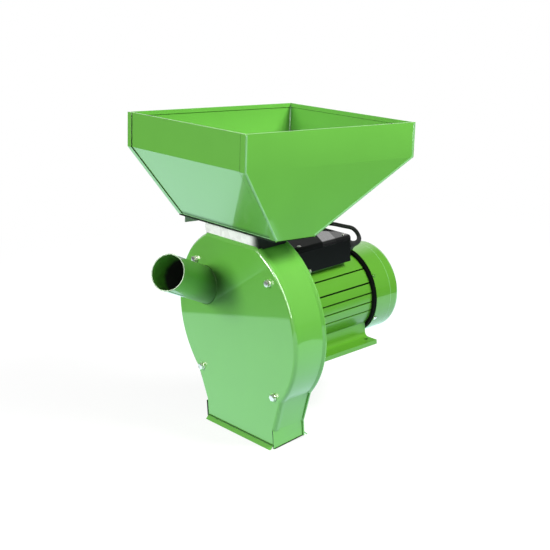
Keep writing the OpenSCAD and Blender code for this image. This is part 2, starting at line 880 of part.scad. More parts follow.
module hammer_3() {
    hammer(2);
}

module hammer_4() {
    hammer(3);
}

module rotor_bolt() {
    y0 = disc_y - disc_t - hub_tail;
    color(zinc) on_axis(y0 - rotor_washer_t) {
        cylinder(h = rotor_washer_t, r = hub_r - hub_tail);
        translate([0, 0, -rotor_bolt_head])
            cylinder(h = rotor_bolt_head, d = rotor_bolt_af / cos(30), $fn = 6);
        cylinder(h = rotor_washer_t + hub_r, d = rotor_bolt_d);
    }
}

module rotor_key() {
    len = disc_space;
    color(steel) on_axis(disc_y) translate([-key_w / 2, shaft_d / 2 - key_h, 0])
        cube([key_w, 2 * key_h - fit_gap, len]);
}

module motor_shaft() {
    y0 = disc_y - disc_t - hub_tail + fit_gap;
    step_y = front_bearing_y;
    core_end = core_y + core_len;
    color(steel) on_axis(0) difference() {
        union() {
            translate([0, 0, y0]) cylinder(h = step_y - y0, d = shaft_d);
            translate([0, 0, step_y]) cylinder(h = core_y - step_y, r = front_journal_r);
            translate([0, 0, core_y]) cylinder(h = core_len, r = core_shaft_r);
            translate([0, 0, core_end]) cylinder(h = rear_bearing_y - core_end, r = front_journal_r);
            translate([0, 0, rear_bearing_y]) cylinder(h = shaft_back - rear_bearing_y, r = rear_journal_r);
        }
        translate([-key_w / 2 - fit_gap, shaft_d / 2 - key_h - fit_gap, disc_y - fit_gap])
            cube([key_w + 2 * fit_gap, shaft_d, disc_space + 2 * fit_gap]);
        translate([0, 0, y0 - over]) cylinder(h = hub_r + over, r = rotor_bolt_d / 2 + fit_gap);
    }
}

module rotor_core() {
    color(steel) on_axis(core_y - end_ring_len) difference() {
        union() {
            translate([0, 0, end_ring_len]) cylinder(h = core_len, r = rotor_core_r);
            cylinder(h = core_len + 2 * end_ring_len, r = rotor_core_r - air_gap);
        }
        translate([0, 0, -over]) cylinder(h = end_ring_len + over, r = rotor_core_r - end_ring_in);
        translate([0, 0, core_len + end_ring_len])
            cylinder(h = end_ring_len + over, r = rotor_core_r - end_ring_in);
        cylinder(h = core_len + 2 * end_ring_len, r = core_shaft_r + fit_gap);
    }
}

module stator_core() {
    color(steel) on_axis(core_y) difference() {
        cylinder(h = core_len, r = frame_bore_r - fit_gap);
        translate([0, 0, -over]) cylinder(h = core_len + 2 * over, r = rotor_core_r + air_gap);
    }
}

module stator_windings() {
    color("#b5682c") for (y = [core_y - winding_len - fit_gap, core_y + core_len + fit_gap])
        on_axis(y) difference() {
            cylinder(h = winding_len, r = frame_bore_r - winding_out);
            translate([0, 0, -over]) cylinder(h = winding_len + 2 * over, r = rotor_core_r + winding_in);
        }
}

// Section of the frame: ribs parted by narrow grooves, and a flat seat on top
module frame_section() {
    difference() {
        circle(r = frame_r);
        for (s = [-1, 1], a = rib_turns) rotate([0, 0, s > 0 ? a : 180 - a])
            translate([frame_r - groove_depth, -groove_w / 2]) square([groove_depth + over, groove_w]);
        translate([-frame_r, seat_h]) square([2 * frame_r, frame_r]);
    }
}

// Section of both feet: an upright web, a fillet and a flat plate each
module feet_section() {
    web_z = -shaft_h + foot_t;
    for (s = [0, 1]) mirror([s, 0]) {
        translate([foot_web_x - foot_web, -shaft_h]) square([foot_web, foot_web_top + foot_t]);
        translate([foot_web_x - foot_web, -shaft_h]) square([feet_w / 2 - foot_web_x + foot_web, foot_t]);
        difference() {
            translate([foot_web_x - over, web_z - over]) square([foot_fillet + over, foot_fillet + over]);
            translate([foot_web_x + foot_fillet, web_z + foot_fillet]) circle(r = foot_fillet);
        }
    }
}

module motor_frame() {
    color(motor_green) difference() {
        union() {
            upright(frame_y, frame_len) translate([0, axis_z]) frame_section();
            upright(foot_y, foot_len) translate([0, axis_z]) feet_section();
            translate([-seat_w / 2, box_y + seat_margin, axis_z])
                cube([seat_w, box_len - 2 * seat_margin, seat_h]);
        }
        bar_y(0, axis_z, frame_y - over, frame_len + 2 * over, frame_bore_r);
        for (x = [-1, 1], y = [-1, 1])
            translate([x * foot_hole_x / 2, foot_holes_y + y * foot_hole_y / 2, foot_z - over])
                cylinder(h = foot_t + 2 * over, d = foot_hole_d);
        shield_screw_places() translate([0, 0, -over]) cylinder(h = big, r = shield_screw_r + fit_gap);
    }
}

// Axes of the screws that hold the end shields, on the frame's rib ring
module shield_screw_places() {
    for (a = [60:60:300]) if (a != 180) on_axis(frame_y) rotate([0, 0, a])
        translate([shield_ring_r, 0, 0]) children();
}

module front_end_shield() {
    color(motor_green) difference() {
        on_axis(shield_y) rotate_extrude() polygon([
            [shaft_hole_r, 0], [shield_flange_r, 0], [shield_flange_r, shield_flange_t],
            [shield_neck_r, shield_flange_t], [shield_neck_r, shield_rim_y - shield_y],
            [frame_r - over, shield_rim_y - shield_y], [frame_r - over, frame_y - shield_y],
            [frame_bore_r - fit_gap, frame_y - shield_y],
            [frame_bore_r - fit_gap, frame_y - shield_y + spigot_len],
            [frame_bore_r - spigot_t, frame_y - shield_y + spigot_len],
            [frame_bore_r - spigot_t, frame_y - shield_y],
            [front_bore_r + spigot_t, frame_y - shield_y],
            [front_bore_r + spigot_t, front_bearing_y + front_bearing_w - shield_y],
            [front_bore_r, front_bearing_y + front_bearing_w - shield_y],
            [front_bore_r, front_bearing_y - shield_y], [shaft_hole_r, front_bearing_y - shield_y]]);
        for (a = [45:90:315]) on_axis(shield_y - over) rotate([0, 0, a])
            translate([flange_ring_r, 0, 0]) cylinder(h = shield_flange_t + over, r = flange_bolt_r + fit_gap);
        shield_screw_places() translate([0, 0, -2 * shield_rim_t])
            cylinder(h = big, r = shield_screw_r + fit_gap);
    }
}

module rear_end_shield() {
    wall_y = rear_rim_front - rear_wall_t;
    rim_r = fan_cover_r - cover_t - seat_gap;
    end = rear_rim_len;
    color(black) difference() {
        on_axis(frame_back) rotate_extrude() polygon([
            [rear_journal_r + spigot_t, -spigot_len], [rear_bore_r + spigot_t, -spigot_len],
            [rear_bore_r + spigot_t, wall_y], [frame_bore_r - spigot_t, wall_y],
            [frame_bore_r - spigot_t, -spigot_len], [frame_bore_r - fit_gap, -spigot_len],
            [frame_bore_r - fit_gap, 0], [rim_r, 0], [rim_r, end], [rim_r - spigot_t, end],
            [rim_r - spigot_t, rear_rim_front], [rear_bore_r + spigot_t, rear_rim_front],
            [rear_bore_r + spigot_t, rear_bearing_y + rear_bearing_w - frame_back],
            [rear_journal_r + spigot_t, rear_bearing_y + rear_bearing_w - frame_back]]);
        on_axis(rear_bearing_y) cylinder(h = rear_bearing_w + over, r = rear_bore_r);
        shield_screw_places() cylinder(h = big, r = shield_screw_r + fit_gap);
        fan_screw_places() translate([0, 0, -spigot_t - fan_screw_in])
            cylinder(h = 2 * spigot_t + fan_screw_in, r = fan_screw_r + fit_gap);
    }
}

// Radial screw places round the fan cover's open edge, Z outward from the cover's surface
module fan_screw_places() {
    for (a = [-fan_screw_turn, fan_screw_turn, 180 - fan_screw_turn, 180 + fan_screw_turn])
        translate([0, fan_screw_y, axis_z]) rotate([0, 90 - a, 0]) translate([0, 0, fan_cover_r]) children();
}

module shield_screws() {
    color(zinc) {
        shield_screw_places() translate([0, 0, -shield_rim_t - shield_screw_head])
            cylinder(h = shield_screw_head, r = shield_screw_head_r);
        shield_screw_places() translate([0, 0, -shield_rim_t - fit_gap])
            cylinder(h = shield_rim_t + shield_screw_in, r = shield_screw_r);
        shield_screw_places() translate([0, 0, frame_len + rear_rim_front])
            cylinder(h = shield_screw_head, r = shield_screw_head_r);
        shield_screw_places() translate([0, 0, frame_len - shield_screw_in])
            cylinder(h = rear_rim_front + shield_screw_in + fit_gap, r = shield_screw_r);
    }
}

// Outer ring and balls of a bearing whose bore end starts at y0
module bearing(y0, outer_r, inner_r, width) {
    ball_r = (outer_r - inner_r - 2 * ring_wall) / 2 - fit_gap;
    mid = (outer_r + inner_r) / 2;
    on_axis(y0) {
        difference() {
            cylinder(h = width, r = outer_r - fit_gap);
            translate([0, 0, -over]) cylinder(h = width + 2 * over, r = outer_r - ring_wall);
        }
        for (k = [0:ball_count - 1]) rotate([0, 0, k * 360 / ball_count])
            translate([mid, 0, width / 2]) sphere(r = ball_r, $fn = 24);
    }
}

module front_bearing() {
    color(steel) bearing(front_bearing_y, front_bore_r, front_journal_r, front_bearing_w);
}

module rear_bearing() {
    color(steel) bearing(rear_bearing_y, rear_bore_r, rear_journal_r, rear_bearing_w);
}

module bearing_inner_rings() {
    color(steel) for (b = [[front_bearing_y, front_journal_r, front_bearing_w],
                           [rear_bearing_y, rear_journal_r, rear_bearing_w]])
        on_axis(b[0]) difference() {
            cylinder(h = b[2], r = b[1] + ring_wall - fit_gap);
            translate([0, 0, -over]) cylinder(h = b[2] + 2 * over, r = b[1] + fit_gap);
        }
}

module cooling_fan() {
    color(black) on_axis(fan_y) difference() {
        union() {
            cylinder(h = fan_len, r = fan_hub_r);
            cylinder(h = fan_disc_t, r = fan_r);
            for (k = [0:fan_blades - 1]) rotate([0, 0, k * 360 / fan_blades])
                translate([fan_hub_r - over, -fan_blade_t / 2, 0])
                    cube([fan_r - fan_hub_r + over - fan_disc_t, fan_blade_t, fan_len]);
        }
        translate([0, 0, -over]) cylinder(h = fan_len + 2 * over, r = rear_journal_r + fit_gap);
    }
}

// Cup over the fan with a rounded rear edge and a ring of air slots
module fan_cover() {
    color(motor_green) difference() {
        on_axis(cover_y) rotate_extrude() difference() {
            cup_section(fan_cover_r, fan_cover_len, cover_edge_r);
            translate([0, -over]) square([fan_cover_r - cover_t, over * 2]);
            cup_section(fan_cover_r - cover_t, fan_cover_len - cover_t, cover_edge_r - cover_t);
        }
        for (k = [0:grille_slots - 1]) on_axis(cover_back - 2 * cover_t) rotate([0, 0, k * 360 / grille_slots])
            translate([grille_in, -grille_w / 2, 0]) cube([grille_out - grille_in, grille_w, 3 * cover_t]);
        fan_screw_places() translate([0, 0, -spigot_t]) cylinder(h = 2 * spigot_t, r = fan_screw_r + fit_gap);
    }
}

// Half section of a cup: radius r, length len, outer corner rounded by edge
module cup_section(r, len, edge) {
    square([r - edge, len]);
    square([r, len - edge]);
    intersection() {
        translate([r - edge, len - edge]) circle(r = edge);
        square([r, len]);
    }
}

module fan_cover_screws() {
    color(zinc) fan_screw_places() {
        translate([0, 0, fit_gap]) cylinder(h = fan_screw_head, r = fan_screw_head_r);
        translate([0, 0, -fan_screw_in]) cylinder(h = fan_screw_in + fan_screw_head, r = fan_screw_r);
    }
}

module flange_bolts() {
    color(zinc) for (a = [45:90:315]) on_axis(shell_back) rotate([0, 0, a]) translate([flange_ring_r, 0, 0]) {
        translate([0, 0, -flange_bolt_head]) cylinder(h = flange_bolt_head, r = flange_bolt_head_r);
        cylinder(h = rear_t + shield_flange_t - over, r = flange_bolt_r);
    }
}

module lid_screw_places() {
    for (x = [-1, 1], y = [box_y + lid_screw_y, box_y + box_len - lid_screw_y])
        translate([x * lid_screw_x, y, box_top]) children();
}

module terminal_box() {
    color(black) difference() {
        union() {
            difference() {
                translate([-box_w / 2, box_y, box_z]) cube([box_w, box_len, box_h]);
                translate([-box_w / 2 + box_wall, box_y + box_wall, box_z + box_floor])
                    cube([box_w - 2 * box_wall, box_len - 2 * box_wall, box_h]);
            }
            for (x = [0, 1], y = [0, 1])
                translate([0, box_y + box_len / 2, box_top - corner_h]) mirror([x, 0, 0]) mirror([0, y, 0])
                    translate([lid_screw_x - corner_block, box_len / 2 - lid_screw_y - corner_block, 0])
                        cube([lid_screw_in + corner_block - over, lid_screw_y + corner_block - over,
                              corner_h - fit_gap]);
        }
        lid_screw_places() translate([0, 0, -corner_h - over])
            cylinder(h = corner_h + 2 * over, r = lid_screw_hole + fit_gap);
        bar_y(gland_x, gland_z, box_y + box_len - box_wall - over, box_wall + 2 * over,
              gland_thread_r + fit_gap);
        translate([-box_w / 2 - over, switch_y - switch_len / 2 + switch_frame,
                   switch_z - switch_high / 2 + switch_frame])
            cube([box_wall + 2 * over, switch_len - 2 * switch_frame, switch_high - 2 * switch_frame]);
        translate([-box_w / 2 - over, reset_y, switch_z]) rotate([0, 90, 0])
            cylinder(h = box_wall + 2 * over, r = reset_r + pin_fit);
    }
    color(black) difference() {
        translate([-box_w / 2 - reset_collar, reset_y, switch_z]) rotate([0, 90, 0])
            cylinder(h = reset_collar, r = reset_collar_r);
        translate([-box_w / 2 - reset_collar - over, reset_y, switch_z]) rotate([0, 90, 0])
            cylinder(h = reset_collar + 2 * over, r = reset_r + pin_fit);
    }
}

// Section of the lid over X, with its upper corners rounded by edge
module lid_section(half, high, edge) {
    translate([-half, 0]) square([2 * half, high - edge]);
    translate([edge - half, 0]) square([2 * (half - edge), high]);
    for (s = [-1, 1]) intersection() {
        translate([s * (half - edge), high - edge]) circle(r = edge);
        translate([-half, 0]) square([2 * half, high]);
    }
}

module box_lid() {
    half = box_w / 2 + lid_over;
    len = box_len + 2 * lid_over;
    color(black) difference() {
        translate([0, 0, box_top]) upright(box_y - lid_over, len) lid_section(half, lid_h, lid_round);
        translate([0, 0, box_top - over]) upright(box_y - lid_over + lid_wall, len - 2 * lid_wall)
            lid_section(half - lid_wall, lid_h + over - lid_wall, lid_round - lid_wall);
        lid_screw_places() cylinder(h = lid_h + over, r = lid_screw_hole + fit_gap);
    }
    color(black) lid_screw_places() difference() {
        cylinder(h = lid_h - lid_wall / 2, r = lid_boss_r);
        translate([0, 0, -over]) cylinder(h = lid_h + over, r = lid_screw_hole + fit_gap);
    }
}

module lid_screws() {
    color(zinc) lid_screw_places() {
        translate([0, 0, lid_h]) cylinder(h = lid_screw_h, r = lid_screw_r);
        translate([0, 0, -corner_h]) cylinder(h = corner_h + lid_h + fit_gap, r = lid_screw_hole);
    }
}

// Round can with two blade terminals, lying along Y
module capacitor(x, tone) {
    z = box_z + box_floor + cap_r + seat_gap;
    color(tone) bar_y(x, z, cap_y, cap_len, cap_r);
    color(zinc) for (s = [-1, 1])
        translate([x + s * cap_r / 2 - cap_round, cap_y + cap_len, z])
            cube([2 * cap_round, 3 * cap_round, cap_round / 2]);
}

module start_capacitor() {
    capacitor(-cap_x, "#2a2b2e");
}

module run_capacitor() {
    capacitor(cap_x, "#c9cbcd");
}

module terminal_block() {
    pitch = block_w / block_ways;
    color("#e6e2d5") difference() {
        translate([-block_w / 2, block_y, box_z + box_floor + fit_gap]) cube([block_w, block_len, block_h]);
        for (k = [0:block_ways - 1]) translate([-block_w / 2 + pitch * (k + 0.5), block_y + block_len / 2,
                                                box_z + box_floor + block_h / 2])
            cylinder(h = block_h, r = block_hole_r);
    }
}

// Flanged rocker housing on the box's left side
module switch_body() {
    x = -box_w / 2;
    color(black) difference() {
        union() {
            translate([x - switch_frame, switch_y - switch_len / 2, switch_z - switch_high / 2])
                cube([switch_frame, switch_len, switch_high]);
            translate([x - fit_gap, switch_y - switch_len / 2 + switch_frame + fit_gap,
                       switch_z - switch_high / 2 + switch_frame + fit_gap])
                cube([switch_deep, switch_len - 2 * switch_frame - 2 * fit_gap,
                      switch_high - 2 * switch_frame - 2 * fit_gap]);
        }
        translate([x - switch_frame - over, switch_y - rocker_len / 2 - rocker_gap,
                   switch_z - rocker_high / 2 - rocker_gap])
            cube([switch_deep - switch_frame + over, rocker_len + 2 * rocker_gap,
                  rocker_high + 2 * rocker_gap]);
        translate([x, switch_y, switch_z - rocker_pin_h / 2])
            cylinder(h = rocker_pin_h, r = rocker_pin_r + pin_fit);
    }
}

// Rocker that turns about an upright pin, with its front half pressed in
module switch_rocker() {
    color("#b3262a") translate([-box_w / 2, switch_y, switch_z]) {
        rotate([0, 0, rocker_tilt]) translate([0, 0, -rocker_high / 2]) intersection() {
            cylinder(h = rocker_high, r = rocker_r);
            linear_extrude(rocker_high) polygon([[-rocker_tip, -rocker_r], [-rocker_dip, 0],
                [-rocker_tip, rocker_r], [2 * rocker_pin_r, rocker_r], [2 * rocker_pin_r, -rocker_r]]);
        }
        translate([0, 0, fit_gap - rocker_pin_h / 2])
            cylinder(h = rocker_pin_h - 2 * fit_gap, r = rocker_pin_r);
    }
}

module reset_button() {
    color("#202225") translate([-box_w / 2 - reset_collar - reset_out, reset_y, switch_z]) rotate([0, 90, 0])
        cylinder(h = reset_out + reset_collar + reset_guide, r = reset_r);
}

// Gland body through the box's rear wall, with its inner ring nut
module cable_gland() {
    y = box_y + box_len;
    color(black) difference() {
        union() {
            translate([gland_x, y, gland_z]) rotate([-90, 0, 0])
                cylinder(h = gland_flange, d = gland_d / cos(30), $fn = 6);
            bar_y(gland_x, gland_z, y - box_wall - gland_lock_len, box_wall + gland_lock_len + gland_flange,
                  gland_thread_r);
            bar_y(gland_x, gland_z, y - box_wall - gland_lock_len, gland_lock_len - fit_gap, gland_lock_r);
        }
        bar_y(gland_x, gland_z, y - big / 2, big, cord_r + fit_gap);
    }
}

// Domed nut of the gland with the tapered sleeve that guards the cord; the cord's route starts at its end
module gland_nut() {
    y = box_y + box_len + gland_flange;
    color(black) difference() {
        union() {
            bar_y(gland_x, gland_z, y, gland_nut_len - dome_r, gland_d / 2);
            bar_y(gland_x, gland_z, y, gland_nut_len, gland_d / 2 - dome_r);
            translate([gland_x, y + gland_nut_len - dome_r, gland_z]) rotate([-90, 0, 0])
                rotate_extrude() translate([gland_d / 2 - dome_r, 0]) intersection() {
                    circle(r = dome_r);
                    square([dome_r, dome_r]);
                }
            translate([gland_x, y + gland_nut_len, gland_z]) rotate([-90, 0, 0])
                cylinder(h = gland_nose_len, r1 = gland_d / 2 - dome_r, r2 = gland_nose_r);
        }
        bar_y(gland_x, gland_z, y - over, gland_nut_len + over, cord_r + fit_gap);
    }
}

// Smooth curve through points: steps pieces to each stretch
function curve(p, steps) = [for (i = [0:len(p) - 2], k = [0:steps - 1]) spline(p, i, k / steps), p[len(p) - 1]];
function spline(p, i, t) =
    let (a = p[max(i - 1, 0)], b = p[i], c = p[i + 1], d = p[min(i + 2, len(p) - 1)])
    b + t * ((c - a) / 2 + t * ((2 * a - 5 * b + 4 * c - d) / 2 + t * (3 * b - a - 3 * c + d) / 2));
function heading(p, i) = unit(p[min(i + 1, len(p) - 1)] - p[max(i - 1, 0)]);

// Tube of radius r along path p; ref is a direction that the path never takes
module tube(p, r, sides, ref) {
    n = len(p);
    points = [for (i = [0:n - 1]) let (t = heading(p, i), s = unit(cross(t, ref)), w = cross(s, t))
        for (j = [0:sides - 1]) p[i] + r * (cos(360 * j / sides) * s + sin(360 * j / sides) * w)];
    skin = [for (i = [0:n - 2], j = [0:sides - 1]) let (a = i * sides + j, b = i * sides + (j + 1) % sides)
        each [[a, b, b + sides], [a, b + sides, a + sides]]];
    caps = [for (j = [1:sides - 2]) each [[0, j + 1, j],
        [(n - 1) * sides, (n - 1) * sides + j, (n - 1) * sides + j + 1]]];
    polyhedron(points, concat(skin, caps));
}

// Point of the coil at turning angle q: in over one layer, up a layer while it reverses, then out
function coil_point(q) =
    let (full = 360 * coil_turns,
         r = coil_r - coil_step * (q < full + 90 ? q : coil_end - q) / 360,
         z = coil_z + coil_rise * min(max((q - full) / 180, 0), 1))
    [coil_x + r * cos(270 - q), coil_y + r * sin(270 - q), z];
coil_end = 360 * 2 * coil_turns + 180;
coil_path = concat([[coil_x + coil_run, coil_y - coil_r, coil_z]],
    [for (k = [0:coil_end * coil_rings / 360]) coil_point(k * 360 / coil_rings)],
    [[coil_x + coil_run, coil_y + coil_r, coil_z + coil_rise]]);

// Least gap of the coil to itself, between points more than a quarter of a turn apart
coil_gap = min([for (i = [0:len(coil_path) - 2], j = [i + 1:len(coil_path) - 1])
    if (j - i > coil_rings / 4) norm(coil_path[i] - coil_path[j])]) - cord_d;
echo(least_gap_of_the_coil = coil_gap);

module cord_lead() {
    color(black) tube(curve(lead_points, 2), cord_r, cord_sides, [1, -1, 1]);
}

module cord_coil() {
    color(black) tube(coil_path, cord_r, coil_sides, [0, 0, 1]);
}

module cord_tail() {
    color(black) tube(curve(tail_points, 2), cord_r, cord_sides, [0, 1, 0]);
}

// Flat band round the coil's turns, where both layers lie on each other
module cord_tie() {
    inner = coil_r - coil_step * (coil_turns - 1 / 4) - cord_r - tie_gap;
    outer = coil_r - coil_step * 3 / 4 + cord_r + tie_gap;
    low = coil_z - cord_r - tie_gap;
    high = coil_z + coil_rise + cord_r + tie_gap;
    color(zinc) difference() {
        translate([coil_x + inner - tie_t, coil_y - tie_w / 2, low - tie_t])
            cube([outer - inner + 2 * tie_t, tie_w, high - low + 2 * tie_t]);
        translate([coil_x + inner, coil_y - tie_w, low]) cube([outer - inner, 2 * tie_w, high - low]);
    }
}

// Straight round plug that lies on its side, pins along +X
module plug_body() {
    color(black) translate([plug_x, plug_y, plug_z]) rotate([0, 90, 0]) difference() {
        union() {
            cylinder(h = plug_grip_len, r1 = plug_boot_r, r2 = plug_grip_r);
            translate([0, 0, plug_grip_len]) cylinder(h = plug_len, r = plug_r);
        }
        for (s = [-1, 1]) translate([0, s * plug_pin_apart / 2, plug_grip_len + plug_len / 2])
            cylinder(h = plug_len, r = plug_pin_d / 2 + fit_gap);
    }
}

module plug_pins() {
    color(zinc) translate([plug_x + plug_grip_len + plug_len / 2, plug_y, plug_z]) rotate([0, 90, 0])
        for (s = [-1, 1]) translate([0, s * plug_pin_apart / 2, 0])
            cylinder(h = plug_len / 2 + plug_pin_len, r = plug_pin_d / 2);
}

housing_shell();
rear_plate();
front_cover();
feed_spout();
cover_bolts();
cover_nuts();
inlet_neck();
gate_guides();
gate_plate();
hopper_floor();
hopper_front();
hopper_back();
hopper_left();
hopper_right();
hopper_screws();
sieve();
rotor_hub();
rotor_disc_front();
rotor_disc_rear();
hammer_pins();
hammer_spacers();
hammer_1();
hammer_2();
hammer_3();
hammer_4();
rotor_bolt();
rotor_key();
motor_shaft();
rotor_core();
stator_core();
stator_windings();
motor_frame();
front_end_shield();
rear_end_shield();
shield_screws();
front_bearing();
rear_bearing();
bearing_inner_rings();
cooling_fan();
fan_cover();
fan_cover_screws();
flange_bolts();
terminal_box();
box_lid();
lid_screws();
start_capacitor();
run_capacitor();
terminal_block();
switch_body();
switch_rocker();
reset_button();
cable_gland();
gland_nut();
cord_lead();
cord_coil();
cord_tie();
cord_tail();
plug_body();
plug_pins();
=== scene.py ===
import json
import math

import bmesh
import bpy
from mathutils import Matrix, Vector


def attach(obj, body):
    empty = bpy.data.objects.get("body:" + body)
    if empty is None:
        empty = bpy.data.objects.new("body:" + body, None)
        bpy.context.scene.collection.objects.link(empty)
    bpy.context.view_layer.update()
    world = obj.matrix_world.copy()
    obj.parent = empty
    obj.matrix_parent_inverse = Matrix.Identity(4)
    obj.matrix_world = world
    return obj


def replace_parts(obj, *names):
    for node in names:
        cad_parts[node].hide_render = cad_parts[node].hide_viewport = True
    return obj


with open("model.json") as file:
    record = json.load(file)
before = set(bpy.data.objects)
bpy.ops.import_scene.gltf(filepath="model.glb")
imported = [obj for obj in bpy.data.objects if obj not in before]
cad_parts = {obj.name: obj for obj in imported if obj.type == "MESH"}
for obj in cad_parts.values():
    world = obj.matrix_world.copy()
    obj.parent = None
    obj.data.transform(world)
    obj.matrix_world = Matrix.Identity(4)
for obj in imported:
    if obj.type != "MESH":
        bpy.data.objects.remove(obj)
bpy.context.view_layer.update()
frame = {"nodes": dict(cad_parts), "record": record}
nodes = frame["nodes"]
slotOf = {part["node"]: part["material_slot"] for part in frame["record"]["subparts"]}
bodyOf = {n: b for b, names in frame["record"]["behaviour"]["bodies"].items() for n in names}
mm = 0.001
print("frame loaded:", len(nodes), "nodes")


def newObject(name, data):
    made = bpy.data.objects.new(name, data)
    bpy.context.scene.collection.objects.link(made)
    return made


def turned(angle, axis="Z"):
    return Matrix.Rotation(angle, 4, axis)


# camera, first of all
cameraSettings = {"place": (1.71861, -1.26301, 0.98019), "yaw": 51.53, "pitch": -17.39, "roll": -2.61,
                  "lens": 79.68, "sensor": 36, "sees": 50}


def makeCamera(s):
    data = bpy.data.cameras.new("camera")
    data.lens, data.sensor_width, data.clip_end = s["lens"], s["sensor"], s["sees"]
    cam = newObject("camera", data)
    yaw, pitch, roll = (math.radians(a) for a in (s["yaw"], 90 + s["pitch"], s["roll"]))
    cam.matrix_world = Matrix.Translation(s["place"]) @ (turned(yaw) @ turned(pitch, "X") @ turned(roll))
    bpy.context.scene.camera = cam


makeCamera(cameraSettings)
print("camera placed")


# shader helper: a wired socket that does sums
class Wire:
    def __init__(self, tree, socket=None):
        self.tree, self.socket = tree, socket

    def node(self, kind, settings=None, sockets=None, out=0):
        made = self.tree.nodes.new(kind)
        for name, value in (settings or {}).items():
            setattr(made, name, value)
        for name, value in (sockets or {}).items():
            target = made.inputs[name]
            if isinstance(value, Wire):
                self.tree.links.new(value.socket, target)
            elif target.type == "RGBA" and len(value) == 3:
                target.default_value = (*value, 1)
            else:
                target.default_value = value
        return Wire(self.tree, made.outputs[out]) if len(made.outputs) else None

    def maths(self, operation, a, b=0.0):
        return self.node("ShaderNodeMath", {"operation": operation}, {0: a, 1: b})

    def vectorMaths(self, operation, other=(0, 0, 0), out="Value"):
        return self.node("ShaderNodeVectorMath", {"operation": operation}, {0: self, 1: other}, out)

    def __add__(self, other):
        return self.maths("ADD", self, other)

    __radd__ = __add__

    def __sub__(self, other):
        return self.maths("SUBTRACT", self, other)

    def __rsub__(self, other):
        return self.maths("SUBTRACT", other, self)

    def __mul__(self, other):
        return self.maths("MULTIPLY", self, other)

    __rmul__ = __mul__

    def clamped(self):
        return self.node("ShaderNodeClamp", None, {"Value": self})

    # 6, 7 and 2 are the Mix node's colour sockets
    def blend(self, low, high):
        return self.node("ShaderNodeMix", {"data_type": "RGBA"}, {0: self, 6: low, 7: high}, 2)

    # goes smoothly from start to end while the value goes from low to high
    def eased(self, low, high, start=0.0, end=1.0):
        return self.node("ShaderNodeMapRange", {"interpolation_type": "SMOOTHSTEP"},
                         {0: self, 1: low, 2: high, 3: start, 4: end})

    def above(self, edge, soft):
        return self.eased(edge - soft, edge + soft)

    def below(self, edge, soft):
        return self.eased(edge - soft, edge + soft, 1.0, 0.0)

    def between(self, low, high, soft):
        return self.above(low, soft) * self.below(high, soft)


def newTree(name):
    made = bpy.data.materials.new(name)
    made.use_nodes = True
    made.node_tree.nodes.clear()
    return made, Wire(made.node_tree)


def place(wire):
    return wire.node("ShaderNodeTexCoord", out="Object")


def placeAlong(wire, axis):
    return wire.node("ShaderNodeSeparateXYZ", None, {"Vector": place(wire)}, axis)


def grain(wire, scale, detail, rough=0.5, at=None):
    return wire.node("ShaderNodeTexNoise", None,
                     {"Vector": at or place(wire), "Scale": scale, "Detail": detail, "Roughness": rough})


# moves an edge to and fro along a surface
def wander(wire, s):
    return s["wander"] * (grain(wire, s["wanderScale"], 3) - 0.5)


# a tone that goes from dark to pale, as shares of a colour, where the mask goes from 0 to 1
def varied(mask, colour, dark, pale):
    low, high = (tuple(min(share * c, 1) for c in colour) for share in (dark, pale))
    return mask.blend(low, high)


def bumpOf(height, distance, under=None):
    sockets = {"Height": height, "Distance": distance, "Strength": 1.0}
    if under:
        sockets["Normal"] = under
    return height.node("ShaderNodeBump", None, sockets)


def finishWith(wire, sockets):
    shader = wire.node("ShaderNodeBsdfPrincipled", None, sockets)
    wire.node("ShaderNodeOutputMaterial", None, {"Surface": shader})


# The feed tube: painted shade deep inside, its green paint near the mouth, and a rim of worn paint lightened
# as a painted highlight
tubeInside = {"foot": (-0.085, 0, 0.279), "axis": (0.3656, -0.8211, 0.4384), "length": 0.141, "inner": 0.0334,
              "litDepth": 0.046, "fade": 0.009, "wander": 0.012, "wanderScale": 60, "rim": 0.0009,
              "rimCoatOff": 0.85, "dull": 0.3, "bare": (0.010, 0.011, 0.010), "worn": (0.30, 0.46, 0.24)}


def within(wire, sockets, s):
    reach = place(wire).vectorMaths("SUBTRACT", s["foot"], "Vector")
    along = reach.vectorMaths("DOT_PRODUCT", s["axis"])
    away = reach.vectorMaths("DOT_PRODUCT", reach) - along * along
    radius = wire.maths("SQRT", wire.maths("MAXIMUM", away, 0.0))
    mouth = s["length"] - s["rim"]
    inner = wire.maths("LESS_THAN", radius, s["inner"]) * wire.maths("LESS_THAN", along, mouth)
    # deep: painted shade inside the tube beyond the lit depth from its mouth
    deep = (along + wander(wire, s)).below(s["length"] - s["litDepth"], s["fade"])
    dark = (inner * deep).clamped()
    edge = wire.maths("GREATER_THAN", along, mouth)
    # the near-black tone is painted shade; the rim's paler tone is worn paint with a painted highlight
    tone = dark.blend(edge.blend(sockets["Base Color"], s["worn"]), s["bare"])
    return {**sockets, "Base Color": tone, "Coat Weight": (1.0 - dark) * (1.0 - s["rimCoatOff"] * edge),
            "Roughness": sockets["Roughness"] + s["dull"] * dark}


# Painted shade in the grooves between the motor's ribs: darker towards their floor, with no clear coat there
ribGrooves = {"axis": 0.222, "from": 0.0665, "floor": 0.0765, "soft": 0.0016, "grooveShade": (0.010, 0.040, 0.004)}


def grooved(wire, sockets, s):
    up = place(wire).vectorMaths("SUBTRACT", (0, 0, s["axis"]), "Vector")
    radius = up.vectorMaths("MULTIPLY", (1, 0, 1), "Vector").vectorMaths("LENGTH")
    # deep: the painted shade band down in the grooves
    deep = radius.between(s["from"], s["floor"], s["soft"])
    return {**sockets, "Base Color": deep.blend(sockets["Base Color"], s["grooveShade"]),
            "Coat Weight": sockets["Coat Weight"] * (1.0 - deep)}


